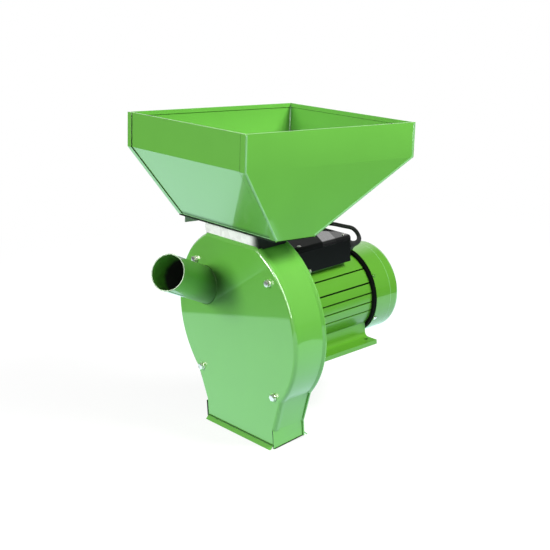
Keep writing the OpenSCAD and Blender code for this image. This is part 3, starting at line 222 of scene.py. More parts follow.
# Painted shadow round the feed tube's foot, on the tube and on the cover beside it, with less clear coat
# there
tubeFootShadow = {"at": (-0.085, 0, 0.279), "from": 0.035, "to": 0.115, "most": 0.66, "matt": 0.8,
             "tone": (0.010, 0.028, 0.008)}
coverSpoutShadow = {**tubeFootShadow, "at": (-0.046, 0, 0.290), "from": 0.003, "to": 0.046, "most": 0.70}


def shadowed(wire, sockets, s):
    far = place(wire).vectorMaths("SUBTRACT", s["at"], "Vector").vectorMaths("LENGTH")
    # a painted shadow, darkest near the foot and fading outwards
    shadow = far.eased(s["from"], s["to"], s["most"], 0.0)
    return {**sockets, "Base Color": shadow.blend(sockets["Base Color"], s["tone"]),
            "Coat Weight": sockets["Coat Weight"] * (1.0 - s["matt"] * shadow)}


# The hopper's front sheet is darker along its foot, where it is folded onto the floor: painted shade, with no
# clear coat there
footShade = {"below": 0.4170, "soft": 0.0045, "dull": 0.95, "tone": (0.030, 0.110, 0.015)}


def shadedFoot(wire, sockets, s):
    # band: painted shade along the sheet's foot
    band = placeAlong(wire, "Z").eased(s["below"] - s["soft"], s["below"] + s["soft"], s["dull"], 0.0)
    return {**sockets, "Base Color": band.blend(sockets["Base Color"], s["tone"]),
            "Coat Weight": sockets["Coat Weight"] * (1.0 - band)}


# Glossy paint: a clear coat over a slightly cloudy tone, orange peel on uneven sheet or on a rough casting
paintSettings = {"housing": (0.138, 0.445, 0.057), "motor": (0.100, 0.328, 0.023), "under": 0.4,
                 "cloudScale": 14, "dark": 0.95, "pale": 1.05, "roughness": 0.40, "cloudRough": 0.06,
                 "speckScale": 1500, "speckRough": 0.08, "peelScale": 420, "peel": 0.000016,
                 "sheetScale": 9, "sheet": 0.0003, "coat": 1.0, "coatRough": 0.035, "coatIor": 1.62,
                 "castScale": 900, "castSheet": 0.00009, "castCoat": 0.6, "castCoatRough": 0.2}


# cast is the depth of a casting's grain, and each layer is a function with its settings
def paint(name, colour, cast=0.0, layers=()):
    s = paintSettings
    made, wire = newTree(name)
    cloud, speck = grain(wire, s["cloudScale"], 2), grain(wire, s["speckScale"], 1)
    wave = bumpOf(grain(wire, s["sheetScale"], 1), s["castSheet"] if cast else s["sheet"])
    normal = bumpOf(grain(wire, s["peelScale"], 2), s["peel"], wave)
    if cast:
        normal = bumpOf(grain(wire, s["castScale"], 4, 0.6), cast, normal)
    rough = s["roughness"] + s["speckRough"] * (speck - 0.5) + s["cloudRough"] * (cloud - 0.5)
    sockets = {"Base Color": varied(cloud, colour, s["dark"], s["pale"]), "Roughness": rough,
               "Normal": normal, "Specular IOR Level": s["under"], "Coat IOR": s["coatIor"],
               "Coat Weight": s["castCoat"] if cast else s["coat"],
               "Coat Roughness": s["castCoatRough"] if cast else s["coatRough"]}
    for layer, settings in layers:
        sockets = layer(wire, sockets, settings)
    finishWith(wire, sockets)
    return made


# Galvanised sheet: flat flakes and a fine grain. The neck darkens towards its motor side in painted shade
zincSettings = {"flakeScale": 90, "flakes": 0.65, "fineScale": 700, "dark": 0.86, "pale": 1.08,
                "flakeRough": 0.12, "relief": 0.00002}
neckShade = {"from": 0.052, "to": 0.0775, "wander": 0.006, "wanderScale": 90, "tone": (0.012, 0.014, 0.012)}


def zinc(name, tone, rough=0.42, metallic=0.12, stainAndShade=None):
    s = zincSettings
    made, wire = newTree(name)
    cells = wire.node("ShaderNodeTexVoronoi", None, {"Vector": place(wire), "Scale": s["flakeScale"]},
                      "Color")
    flake = wire.node("ShaderNodeSeparateColor", None, {"Color": cells}, "Red")
    fine = grain(wire, s["fineScale"], 4)
    colour = varied(s["flakes"] * flake + (1 - s["flakes"]) * fine, tone, s["dark"], s["pale"])
    if stainAndShade:
        # painted shade across the neck's motor side
        shadeMask = (placeAlong(wire, "X") + wander(wire, stainAndShade)).eased(stainAndShade["from"], stainAndShade["to"])
        colour = shadeMask.blend(colour, stainAndShade["tone"])
    finishWith(wire, {"Base Color": colour, "Metallic": metallic, "Normal": bumpOf(fine, s["relief"]),
                      "Roughness": rough + s["flakeRough"] * (flake - 0.5)})
    return made


# Plated or drawn metal: spotted, with fine scratches
platedSettings = {"spotScale": 260, "scratchScale": 2200, "dark": 0.82, "pale": 1.1, "spotRough": 0.2}


def plated(name, tone, rough=0.26, metallic=1.0, scratch=0.00001):
    s = platedSettings
    made, wire = newTree(name)
    spots = grain(wire, s["spotScale"], 4, 0.6)
    finishWith(wire, {"Base Color": varied(spots, tone, s["dark"], s["pale"]), "Metallic": metallic,
                      "Roughness": rough + s["spotRough"] * (spots - 0.5),
                      "Normal": bumpOf(grain(wire, s["scratchScale"], 2), scratch)})
    return made


# Turned steel: marks round the shaft, and a faint stain
steelSettings = {"tone": (0.42, 0.43, 0.45), "dark": 0.7, "pale": 1.2, "stretch": (30, 900, 30), "marks": 0.6,
                 "stainScale": 40, "rough": 0.32, "stainRough": 0.25, "relief": 0.00003}


def turnedSteel(name):
    s = steelSettings
    made, wire = newTree(name)
    stretch = wire.node("ShaderNodeMapping", None, {"Vector": place(wire), "Scale": s["stretch"]})
    marks, stainAndShade = grain(wire, 1.0, 4, 0.6, stretch), grain(wire, s["stainScale"], 4, 0.6)
    colour = varied(s["marks"] * marks + (1 - s["marks"]) * stainAndShade, s["tone"], s["dark"], s["pale"])
    finishWith(wire, {"Base Color": colour, "Metallic": 1.0, "Normal": bumpOf(marks, s["relief"]),
                      "Roughness": s["rough"] + s["stainRough"] * (stainAndShade - 0.5)})
    return made


# Mouldings, enamel and rubber: a cloudy tone under fine pebbles
plasticSettings = {"cloudScale": 30, "dark": 0.8, "pale": 1.2, "cloudRough": 0.1, "coatRough": 0.06}


def plastic(name, tone, rough=0.35, coat=0.0, pebble=0.000012, scale=1400, shine=0.5, ior=1.5, coatIor=1.5,
            panel=None):
    s = plasticSettings
    made, wire = newTree(name)
    cloud = grain(wire, s["cloudScale"], 2)
    finishWith(wire, {"Base Color": varied(cloud, tone, s["dark"], s["pale"]), "IOR": ior,
                      "Roughness": rough + s["cloudRough"] * (cloud - 0.5), "Specular IOR Level": shine,
                      "Coat Weight": polished(wire, panel) if panel else coat,
                      "Coat Roughness": s["coatRough"], "Coat IOR": coatIor,
                      "Normal": bumpOf(grain(wire, scale, 2), pebble)})
    return made


# The box's lid is matt, with a polished panel and a half polished one across it
lidPanel = {"across": (0.467, 0.884, 0), "from": 0.182, "to": 0.2106, "soft": 0.0012, "bright": 1.0,
            "half": 0.5}


def polished(wire, s):
    along = place(wire).vectorMaths("DOT_PRODUCT", s["across"])
    bright, half = along.between(s["from"], s["to"], s["soft"]), along.above(s["to"], s["soft"])
    return (s["bright"] * bright + s["half"] * half).clamped()


# Windings: rings of varnished copper wire round the shaft
windingSettings = {"gap": (0.16, 0.045, 0.012), "wire": (0.62, 0.26, 0.10), "scale": 190, "uneven": 2.0,
                   "metallic": 0.85, "rough": 0.35, "relief": 0.0006}


def windingCopper(name):
    s = windingSettings
    made, wire = newTree(name)
    wave = wire.node("ShaderNodeTexWave", {"wave_type": "RINGS", "rings_direction": "Y"},
                     {"Vector": place(wire), "Scale": s["scale"], "Distortion": s["uneven"], "Detail": 1.0},
                     "Fac")
    finishWith(wire, {"Base Color": wave.blend(s["gap"], s["wire"]), "Metallic": s["metallic"],
                      "Roughness": s["rough"], "Normal": bumpOf(wave, s["relief"])})
    return made


castGrain = 0.00003
finishes = {
    "green_paint": paint("housing green", paintSettings["housing"]),
    "motor_paint": paint("motor green", paintSettings["motor"], castGrain),
    "cover_paint": paint("fan cover green", paintSettings["motor"]),
    "zinc": zinc("galvanised sheet", (0.90, 0.90, 0.89)),
    "zinc_screw": plated("zinc plated", (0.90, 0.83, 0.83), 0.30, metallic=0.95),
    "steel": turnedSteel("machined steel"),
    "rotor_casting": plated("cast aluminium", (0.55, 0.56, 0.58), 0.42, scratch=0.00006),
    "copper": windingCopper("varnished windings"),
    "black_casting": plastic("black enamel", (0.003, 0.003, 0.003), 0.8, pebble=0.00003, scale=900,
                             shine=0.12),
    "black_box": plastic("glossy black moulding", (0.003, 0.003, 0.0033), 0.36, coat=0.30, pebble=0.000006,
                         shine=0.25),
    "black_plastic": plastic("satin black moulding", (0.020, 0.020, 0.021), 0.48, pebble=0.00003),
    "white_plastic": plastic("ivory moulding", (0.72, 0.69, 0.60), 0.45),
    "rocker_red": plastic("red moulding", (0.55, 0.012, 0.012), 0.25, coat=0.5, pebble=0.000006),
    "can": plated("drawn aluminium", (0.72, 0.73, 0.75), 0.3),
    "cord_rubber": plastic("rubber sheath", (0.014, 0.014, 0.014), 0.55, pebble=0.00004, scale=1800),
    "pin_brass": plated("nickelled pins", (0.74, 0.70, 0.60), 0.22),
}
# dark tones of painted shade, for crevices and under folds
seamShade = plastic("painted crevice shade", (0.006, 0.020, 0.005), 0.7, shine=0.2)
foldShade = plastic("painted shade under a fold", (0.035, 0.120, 0.018), 0.6, shine=0.3)
# a paler tone for bends and creases: painted highlight
bendHighlight = plastic("painted highlight on a bend", (0.24, 0.55, 0.21), 0.35, coat=1.0, pebble=0.000004)
wornPaint = plastic("worn paint", (0.34, 0.56, 0.28), 0.4, coat=0.3)
# the weld's darker tone is painted shade at the tube's joint
weldShade = plastic("weld paint in painted shade", (0.050, 0.170, 0.022), 0.6, shine=0.3)
ownFinish = {
    "feed_spout": paint("feed tube green", paintSettings["housing"],
                        layers=[(within, tubeInside), (shadowed, tubeFootShadow)]),
    "hopper_front": paint("front sheet green", paintSettings["housing"], layers=[(shadedFoot, footShade)]),
    "front_cover": paint("front cover green", paintSettings["housing"], layers=[(shadowed, coverSpoutShadow)]),
    "motor_frame": paint("ribbed frame green", paintSettings["motor"], castGrain,
                         layers=[(grooved, ribGrooves)]),
    "inlet_neck": zinc("galvanised neck", (0.93, 0.92, 0.90), 0.45, metallic=0.0, stainAndShade=neckShade),
    # the gate's darker zinc tone is painted shade under the hopper
    "gate_plate": zinc("shaded galvanised gate", (0.55, 0.60, 0.55)),
    "box_lid": plastic("black lid", (0.007, 0.007, 0.0075), 0.55, pebble=0.00001, shine=0.3, ior=1.18,
                       coatIor=2.15, panel=lidPanel),
}
for node, slotName in slotOf.items():
    materials = nodes[node].data.materials
    materials.clear()
    materials.append(ownFinish.get(node) or finishes[slotName])
print("finishes made:", len(finishes))


# modelling helpers: profiles, lines and radii are in mm
def point(x, y, z):
    return Vector((x, y, z)) * mm


# puts a piece at a place, with its z axis in a given direction
def facing(direction, at):
    return Matrix.Translation(at) @ Vector(direction).to_track_quat("Z", "Y").to_matrix().to_4x4()


def asObject(name, bm, slotName, body, smooth=40, finish=None):
    bmesh.ops.recalc_face_normals(bm, faces=bm.faces)
    for face in bm.faces:
        face.smooth = True
    for edge in bm.edges:
        edge.smooth = len(edge.link_faces) == 2 and edge.calc_face_angle(0) < math.radians(smooth)
    mesh = bpy.data.meshes.new(name)
    bm.to_mesh(mesh)
    bm.free()
    mesh.materials.append(finish or finishes[slotName])
    made = newObject(name, mesh)
    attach(made, body)
    return made


# a solid's own mesh, with its loose triangles merged into whole faces
def copyOf(node):
    bm = bmesh.new()
    bm.from_mesh(nodes[node].data)
    bmesh.ops.remove_doubles(bm, verts=bm.verts, dist=0.02 * mm)
    bmesh.ops.dissolve_limit(bm, angle_limit=math.radians(0.6), verts=bm.verts, edges=bm.edges)
    return bm


# a copy takes the solid's place: reshaped where that is asked, and with its edges rounded
def dressed(node, width, name, angle=40, shape=None):
    bm = copyOf(node)
    if shape:
        shape(bm)
    piece = asObject(name, bm, slotOf[node], bodyOf[node], angle, nodes[node].data.materials[0])
    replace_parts(piece, node)
    edges = piece.modifiers.new("edges", "BEVEL")
    edges.width = width
    edges.segments = 2
    edges.limit_method = "ANGLE"
    edges.angle_limit = math.radians(angle)
    edges.use_clamp_overlap = True
    flats = piece.modifiers.new("flats", "WEIGHTED_NORMAL")
    flats.keep_sharp = True
    flats.weight = 100
    return piece


def addedTo(bm, before):
    return [v for v in bm.verts if v not in before]


# a profile of radius and height, spun round z and then moved into place
def spun(bm, profile, matrix, steps=32):
    before = set(bm.verts)
    ring = [bm.verts.new((r * mm, 0, z * mm)) for r, z in profile]
    edges = [bm.edges.new(pair) for pair in zip(ring, ring[1:])]
    bmesh.ops.spin(bm, geom=ring + edges, cent=(0, 0, 0), axis=(0, 0, 1), angle=2 * math.pi, steps=steps,
                   use_merge=True)
    bmesh.ops.remove_doubles(bm, verts=addedTo(bm, before), dist=0.001 * mm)
    bmesh.ops.transform(bm, matrix=matrix, verts=addedTo(bm, before))


def hexagon(bm, across, height, matrix, chamfer=0.8):
    before = set(bm.verts)
    radius = across * mm / 2 / math.cos(math.pi / 6)
    made = bmesh.ops.create_cone(bm, cap_ends=True, segments=6, radius1=radius, radius2=radius,
                                 depth=height * mm)
    top = [e for e in bm.edges if all(v in made["verts"] and v.co.z > 0 for v in e.verts)]
    bmesh.ops.bevel(bm, geom=top, offset=chamfer * mm, affect="EDGES", segments=2, profile=0.5, material=-1)
    upright = Matrix.Translation((0, 0, height * mm / 2))
    bmesh.ops.transform(bm, matrix=matrix @ upright, verts=addedTo(bm, before))


# which way a line runs at one of its points
def headingAt(line, k, closed=False):
    if closed:
        return line[(k + 1) % len(line)] - line[k - 1]
    return line[min(k + 1, len(line) - 1)] - line[max(k - 1, 0)]


# a small round section along a line, with one radius or one for each point
def bead(bm, line, radius, sides=8, closed=False, where=Matrix.Identity(4)):
    line = [where @ point(*p) for p in line]
    rings = []
    for k, p in enumerate(line):
        thick = radius[k] if isinstance(radius, list) else radius
        made = bmesh.ops.create_circle(bm, segments=sides, radius=thick * mm,
                                       matrix=facing(headingAt(line, k, closed), p))["verts"]
        rings.append(list(dict.fromkeys(e for v in made for e in v.link_edges)))
    for one, two in zip(rings, rings[1:] + rings[:1] if closed else rings[1:]):
        bmesh.ops.bridge_loops(bm, edges=one + two)
    if not closed:
        bmesh.ops.holes_fill(bm, edges=rings[0] + rings[-1], sides=sides)


# Mains cord: lead, coil and tail in one line
cordSettings = {"radius": 0.004, "leadSteps": 8, "tailSteps": 6, "least": 0.05}
leadPoints = [(42, 268, 327), (42, 270, 327), (40.5, 279.5, 328.5), (35.5, 287.5, 332.5), (28.5, 291.5, 338),
              (21, 291.5, 344.5), (14.5, 287, 350), (2.5, 276.5, 353.5), (-12, 264, 357.5), (-28, 255, 358),
              (-44, 247, 358), (-60, 238, 355), (-75, 228, 347), (-88, 217, 331), (-98, 207, 305),
              (-104, 198, 265), (-108, 190, 215), (-111, 180, 150), (-115, 170, 88), (-124, 160, 44),
              (-141, 151, 18), (-165, 143, 7.5), (-192, 138, 5.4), (-212, 138, 5.4), (-222, 138, 5.4)]
tailPoints = [(-222, 242, 14.2), (-212, 242, 14.2), (-202, 242, 15.5), (-192, 242, 18), (-184, 242, 19.5),
              (-176, 242, 19.5)]
coilSettings = {"x": -230, "y": 190, "r": 52, "step": 9, "turns": 2, "z": 5.4, "rise": 8.8, "sides": 72}


def throughPoints(points, steps):
    line = []
    for i in range(len(points) - 1):
        a, b, c, d = (Vector(points[max(0, min(k, len(points) - 1))]) for k in (i - 1, i, i + 1, i + 2))
        for k in range(steps):
            t = k / steps
            bow = 2 * a - 5 * b + 4 * c - d + t * (3 * b - a - 3 * c + d)
            line.append(b + t * ((c - a) + t * bow) / 2)
    return line + [Vector(points[-1])]


# winds inwards, climbs onto the first layer and winds outwards again
def coilLine(s):
    full = 360 * s["turns"]
    end = 2 * full + 180
    line = []
    for k in range(end * s["sides"] // 360 + 1):
        q = k * 360 / s["sides"]
        r = s["r"] - s["step"] * (q if q < full + 90 else end - q) / 360
        turn = math.radians(270 - q)
        climb = s["rise"] * min(max((q - full) / 180, 0), 1)
        line.append(Vector((s["x"] + r * math.cos(turn), s["y"] + r * math.sin(turn), s["z"] + climb)))
    return line


cordLine = (throughPoints(leadPoints, cordSettings["leadSteps"]) + coilLine(coilSettings)
            + throughPoints(tailPoints, cordSettings["tailSteps"]))
cordLine = [p * mm for k, p in enumerate(cordLine)
            if k == 0 or (p - cordLine[k - 1]).length > cordSettings["least"]]
cordLength = sum((b - a).length for a, b in zip(cordLine, cordLine[1:]))
print("cord length", round(cordLength, 3))


def makeCord(line, radius):
    data = bpy.data.curves.new("mainsCord", "CURVE")
    data.dimensions = "3D"
    spline = data.splines.new("POLY")
    spline.points.add(len(line) - 1)
    for knot, p in zip(spline.points, line):
        knot.co = (*p, 1)
    data.bevel_depth = radius
    data.bevel_resolution = 4
    data.use_fill_caps = True
    data.materials.append(finishes["cord_rubber"])
    made = newObject("mainsCord", data)
    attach(made, "mill")
    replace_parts(made, "cord_lead", "cord_coil", "cord_tail")
    return made


mainsCord = makeCord(cordLine, cordSettings["radius"])

# Plug: ribbed boot, grip and round body, with two pins
plugSettings = {"at": (-176, 242, 19.5), "grip": 24, "body": 26, "bodyR": 19, "gripR": 11, "bootR": 7,
                "ribs": 6, "ribStep": 3.2, "pinD": 4.8, "pinLen": 19, "apart": 19}


def makePlug(s):
    ribs = []
    for k in range(s["ribs"]):
        z = 1.2 + s["ribStep"] * k
        r = s["bootR"] + (s["gripR"] - s["bootR"]) * z / s["grip"]
        ribs += [(r - 0.9, z), (r + 0.1, z + 0.5), (r + 0.1, z + 1.7), (r - 0.9, z + 2.2)]
    g, b, r = s["grip"], s["body"], s["bodyR"]
    profile = ([(0, 0), (s["bootR"] - 1.2, 0)] + ribs + [(s["gripR"], g - 2), (s["gripR"] + 1.2, g - 0.6)]
               + [(r - 3, g), (r - 0.8, g + 0.8), (r, g + 3), (r, g + b - 2.2), (r - 0.7, g + b - 0.6),
                  (r - 2.2, g + b), (0, g + b)])
    bm = bmesh.new()
    spun(bm, profile, facing((1, 0, 0), point(*s["at"])), 48)
    body = asObject("plugMoulding", bm, "black_plastic", "mill", 50)
    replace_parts(body, "plug_body")
    d, length = s["pinD"] / 2, b / 2 + s["pinLen"]
    pin = [(0, 0), (d, 0), (d, length - 1.6), (0.8 * d, length - 0.5), (0.45 * d, length), (0, length)]
    x, y, z = s["at"]
    bm = bmesh.new()
    for side in (-1, 1):
        spun(bm, pin, facing((1, 0, 0), point(x + g + b / 2, y + side * s["apart"] / 2, z)), 24)
    pins = asObject("plugPins", bm, "pin_brass", "mill", 50)
    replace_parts(pins, "plug_pins")
    return [body, pins]


plugPieces = makePlug(plugSettings)
tie = dressed("cord_tie", 0.0003, "cordTie")
print("cord and plug made")

# Hopper: its sizes before it leans back, and where it stands
hopperSettings = {"lean": -5.5, "y": 37, "z": 404, "halfFoot": 145, "halfMouth": 175, "front": -139.5,
                  "back": 248.5, "footY": 44.5, "floor": 2, "fold": 132, "rim": 195, "sheet": 1.5, "hem": 8,
                  "flange": 7, "widen": 5.2, "grip": 5.0, "gripTop": -9}
hopperPlace = (Matrix.Translation(point(0, hopperSettings["y"], hopperSettings["z"]))
               @ turned(math.radians(hopperSettings["lean"]), "X"))


# the side panels' flanges lie over the front and the back, wider than in the solids
def widenFlange(bm):
    s, home = hopperSettings, hopperPlace.inverted()
    for v in bm.verts:
        p = home @ v.co / mm
        run = min(max((p.z - s["floor"]) / (s["fold"] - s["floor"]), 0), 1)
        edge = s["halfFoot"] + (s["halfMouth"] - s["halfFoot"]) * run - s["flange"]
        if abs(abs(p.x) - edge) < 0.7:
            v.co.x -= math.copysign(s["widen"] * mm, v.co.x)


def lowerGrip(bm):
    s, home = hopperSettings, hopperPlace.inverted()
    for v in bm.verts:
        if (home @ v.co).z < s["gripTop"] * mm:
            v.co.z -= s["grip"] * mm


# sheet metal, castings and mouldings: width of the rounded edge in metres, and the piece's name
dressing = {
    "front_cover": (0.0005, "coverSheet"), "housing_shell": (0.0004, "shellBand"),
    "rear_plate": (0.0007, "rearSheet"), "feed_spout": (0.0005, "spoutTube"),
    "inlet_neck": (0.0003, "neckSheet"), "gate_plate": (0.0003, "gateSheet"),
    "gate_guides": (0.0002, "gateChannels"), "hopper_floor": (0.0003, "hopperBase"),
    "hopper_front": (0.0011, "hopperFrontSheet"), "hopper_back": (0.0011, "hopperBackSheet"),
    "hopper_left": (0.0009, "hopperLeftSheet"), "hopper_right": (0.0009, "hopperRightSheet"),
    "motor_frame": (0.0007, "ribbedFrame"), "front_end_shield": (0.0008, "drivenEndShield"),
    "rear_end_shield": (0.0006, "blackEndShield"), "fan_cover": (0.0004, "fanCup"),
    "terminal_box": (0.0007, "terminalTray"), "box_lid": (0.0006, "terminalLid"),
    "switch_body": (0.0004, "switchFrame"), "switch_rocker": (0.0005, "rockerPaddle"),
    "reset_button": (0.0006, "resetCap"), "cable_gland": (0.0004, "glandBody"),
}
reshaped = {"hopper_left": widenFlange, "hopper_right": widenFlange, "gate_plate": lowerGrip}
for node, (width, name) in dressing.items():
    dressed(node, width, name, angle=16 if "hopper" in node else 40, shape=reshaped.get(node))
print("sheet and castings dressed:", len(dressing))

# Cover bolts with washers, threads and nuts
boltSettings = {"x": 110, "up": 103.0, "down": 114.8, "axis": 222, "across": 11.5, "head": 5.5, "d": 8,
                "washer": 1.6, "washerR": 6.5, "pitch": 1.25, "tail": 25, "back": 73, "nut": 6.5}


def makeCoverBolts(s):
    heads, nuts = bmesh.new(), bmesh.new()
    w, r, t = s["washerR"], s["d"] / 2, s["washer"]
    ring = [(r, 0), (w - 0.3, 0), (w, 0.3), (w, t - 0.3), (w - 0.3, t), (r, t), (r, 0)]
    start, end = -s["back"] - t, s["tail"]
    thread = [(0, start + 2), (r - 0.1, start + 2), (r - 0.1, 1)]
    for k in range(int((end - 2) / s["pitch"])):
        thread += [(r - 0.65, 1.2 + k * s["pitch"]), (r, 1.2 + (k + 0.5) * s["pitch"])]
    thread += [(r - 0.7, end - 0.4), (r - 1.1, end), (0, end)]
    over = Matrix.Translation((0, 0, t * mm))
    for x in (-s["x"], s["x"]):
        for z in (s["axis"] + s["up"], s["axis"] - s["down"]):
            front, rear = facing((0, -1, 0), point(x, 0, z)), facing((0, 1, 0), point(x, s["back"], z))
            spun(heads, ring, front, 40)
            hexagon(heads, s["across"], s["head"], front @ over @ turned(math.radians(x + z)))
            spun(heads, thread, rear, 24)
            spun(nuts, ring, rear, 40)
            hexagon(nuts, s["across"], s["nut"], rear @ over @ turned(math.radians(2 * x - z)))
    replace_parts(asObject("coverBoltSet", heads, "zinc_screw", "mill", 30), "cover_bolts")
    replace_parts(asObject("coverNutSet", nuts, "zinc_screw", "mill", 30), "cover_nuts")


makeCoverBolts(boltSettings)

# Weld seam where the feed tube meets the cover: a row of small ripples, darker than the cover as painted
# shade at the joint
weldSettings = {"foot": (-85, 0, 279), "axis": (0.3656, -0.8211, 0.4384), "radius": 34.5, "thick": 1.2,
                "ripple": 0.3, "ripples": 46}


def makeFootWeld(s):
    foot, axis = Vector(s["foot"]), Vector(s["axis"]).normalized()
    one = axis.cross(Vector((0, 0, 1))).normalized()
    two = axis.cross(one)
    line, thick = [], []
    steps = s["ripples"] * 4
    for k in range(steps):
        t = 2 * math.pi * k / steps
        p = s["radius"] * (math.cos(t) * one + math.sin(t) * two)
        line.append(foot + p - axis * (p.y / axis.y))  # down the tube's side onto the cover's face
        thick.append(s["thick"] + s["ripple"] * math.sin(t * s["ripples"]))
    bm = bmesh.new()
    bead(bm, line, thick, closed=True)
    asObject("footWeld", bm, "green_paint", bodyOf["front_cover"], 60, weldShade)


makeFootWeld(weldSettings)


# the four lines down the hopper's corners, from the rim over the fold to the foot, some way in from the edge
def cornerLines(inX, inY, down, up):
    h = hopperSettings
    wide, narrow = h["halfMouth"] - inX, h["halfFoot"] - inX
    for x in (-1, 1):
        for y, foot, way in ((h["front"], -h["footY"], 1), (h["back"], h["footY"], -1)):
            yield [(x * wide, y + way * inY, h["rim"] - down), (x * wide, y + way * inY, h["fold"]),
                   (x * narrow, foot + way * inY, h["floor"] + up)]


# Painted shade as dark beads: beside the flanges, in the crevice under the hem, and along the foot
seamSettings = {"radius": 1.2, "proud": 0.15, "inset": 0.35, "underRim": 0.6, "overFloor": 0.5,
                "crevice": 0.5, "underHem": 0.25, "front": 1.35, "heights": (0.0, 1.3), "side": 0.8,
                "sideHeight": 0.4, "short": 2}


def makeHopperSeamShade(s):
    h = hopperSettings
    bm = bmesh.new()
    inset = h["flange"] + h["widen"] + s["inset"]
    for line in cornerLines(inset, -s["proud"], s["underRim"], s["overFloor"]):
        bead(bm, line, s["radius"], 6, where=hopperPlace)
    t, low = h["sheet"] + s["inset"], h["rim"] - h["hem"] - s["underHem"]
    x, near, far = h["halfMouth"] - t, h["front"] + t, h["back"] - t
    corners = [(-x, near, low), (x, near, low), (x, far, low), (-x, far, low)]
    for ends in zip(corners, corners[1:] + corners[:1]):
        bead(bm, ends, s["crevice"], 6, where=hopperPlace)
    x, y = h["halfFoot"], h["footY"]
    for way in (-1, 1):
        for z in s["heights"]:
            ends = [(-x + s["short"], way * y, z), (x - s["short"], way * y, z)]
            bead(bm, ends, s["front"], where=hopperPlace)
    for way in (-1, 1):
        ends = [(way * x, -y + s["short"], s["sideHeight"]), (way * x, y - s["short"], s["sideHeight"])]
        bead(bm, ends, s["side"], where=hopperPlace)
    asObject("hopperSeamShade", bm, "green_paint", bodyOf["hopper_front"], 60, seamShade)


# Rounded bends between the panels, and along the foot of the front and the back, paler as a painted highlight
bendSettings = {"radius": 2.6, "proud": 1.1, "foot": 1.1, "footOut": 0.5, "footHeight": 3.4, "short": 12}


def makePanelBends(s):
    bm = bmesh.new()
    deep = s["radius"] - s["proud"]
    for line in cornerLines(deep, deep, deep, deep):
        bead(bm, line, s["radius"], 16, where=hopperPlace)
    x, y = hopperSettings["halfFoot"] - s["short"], hopperSettings["footY"] + s["footOut"]
    for way in (-1, 1):
        ends = [(-x, way * y, s["footHeight"]), (x, way * y, s["footHeight"])]
        bead(bm, ends, s["foot"], 12, where=hopperPlace)
    asObject("panelBends", bm, "green_paint", bodyOf["hopper_front"], 60, bendHighlight)


# Spot welds down the corners inside the rim band
spotSettings = {"radius": 2.1, "count": 7, "proud": 0.4, "below": 5, "above": 3}


def makeCornerWelds(s):
    h = hopperSettings
    inset, top = h["sheet"] + s["proud"], h["rim"] - h["hem"] - s["below"]
    step = (top - h["fold"] - s["above"]) / (s["count"] - 1)
    bm = bmesh.new()
    for x in (-1, 1):
        for y in (h["front"] + inset, h["back"] - inset):
            for k in range(s["count"]):
                at = hopperPlace @ point(x * (h["halfMouth"] - inset), y, top - k * step)
                flat = Matrix.Diagonal((1, 1, 0.7 + 0.1 * (k % 3), 1))
                bmesh.ops.create_icosphere(bm, subdivisions=2, radius=s["radius"] * mm,
                                           matrix=Matrix.Translation(at) @ flat)
    asObject("cornerWelds", bm, "green_paint", bodyOf["hopper_front"], 60, wornPaint)


makeHopperSeamShade(seamSettings)
makePanelBends(bendSettings)
makeCornerWelds(spotSettings)

# Outlet: painted shade as dark beads in the lip's fold, the gaps beside the cover's tongue, the side sheets'
# lower edges
outletSettings = {"tongue": 99.9, "neck": 36.5, "side": 102.6, "depth": 70,
                  "fold": {"radius": 1.25, "short": 1.5, "y": -0.9, "z": 7.6},
                  "gaps": [{"radius": 0.75, "x": 100.9, "y": 0.3, "from": 0.9},
                           {"radius": 2.4, "x": -102.3, "y": 1.2, "from": 4.0}],
                  "foot": {"radius": 0.95, "from": 1.5, "short": 0.5, "lift": 1.0, "rise": 6.0}}


def makeOutletSeamShade(s):
    fold, foot = s["fold"], s["foot"]
    end = s["tongue"] - fold["short"]
    bm = bmesh.new()
    bead(bm, [(x, fold["y"], fold["z"]) for x in (-end, end)], fold["radius"])
    asObject("lipFold", bm, "green_paint", bodyOf["front_cover"], 60, foldShade)
    bm = bmesh.new()
    for gap in s["gaps"]:
        bead(bm, [(gap["x"], gap["y"], z) for z in (gap["from"], s["neck"])], gap["radius"])
    for x in (-s["side"], s["side"]):
        ends = foot["from"], s["depth"] - foot["short"]
        bead(bm, [(x, y, foot["lift"] + foot["rise"] * y / s["depth"]) for y in ends], foot["radius"])
    asObject("outletSeamShade", bm, "green_paint", bodyOf["housing_shell"], 60, seamShade)


makeOutletSeamShade(outletSettings)

# Drawn crease round the fan cover before its shoulder, paler as a painted highlight
creaseSettings = {"axis": (0, 320, 222), "ring": 86.9, "radius": 0.75, "steps": 160, "start": -1.57}


def makeCrease(s):
    turns = [s["start"] + 2 * math.pi * k / s["steps"] for k in range(s["steps"])]
    line = [Vector(s["axis"]) + s["ring"] * Vector((math.cos(a), 0, math.sin(a))) for a in turns]
    bm = bmesh.new()
    bead(bm, line, s["radius"], closed=True)
    asObject("coverCrease", bm, "cover_paint", bodyOf["fan_cover"], 60, bendHighlight)


makeCrease(creaseSettings)

# Paint fillet that closes the joint between the shell and the rear plate
jointSettings = {"axis": (0, 70, 222), "beyond": 157, "foot": 12, "edge": 0.15, "inset": 2.4, "under": 3.12,
                 "back": 0.2, "depth": 5.0}


# the front edge of the rear plate's outline, from its left foot round to the right one
def rearOutline(s):
    bm = copyOf("rear_plate")
    axis = point(*s["axis"])
    line = []
    for v in bm.verts:
        out = v.co - axis
        if abs(out.y) < 0.05 * mm and out.length > s["beyond"] * mm and v.co.z > s["foot"] * mm:
            line.append(v.co.copy())
    bm.free()
    return sorted(line, key=lambda p: math.atan2(p.x, p.z - axis.z))


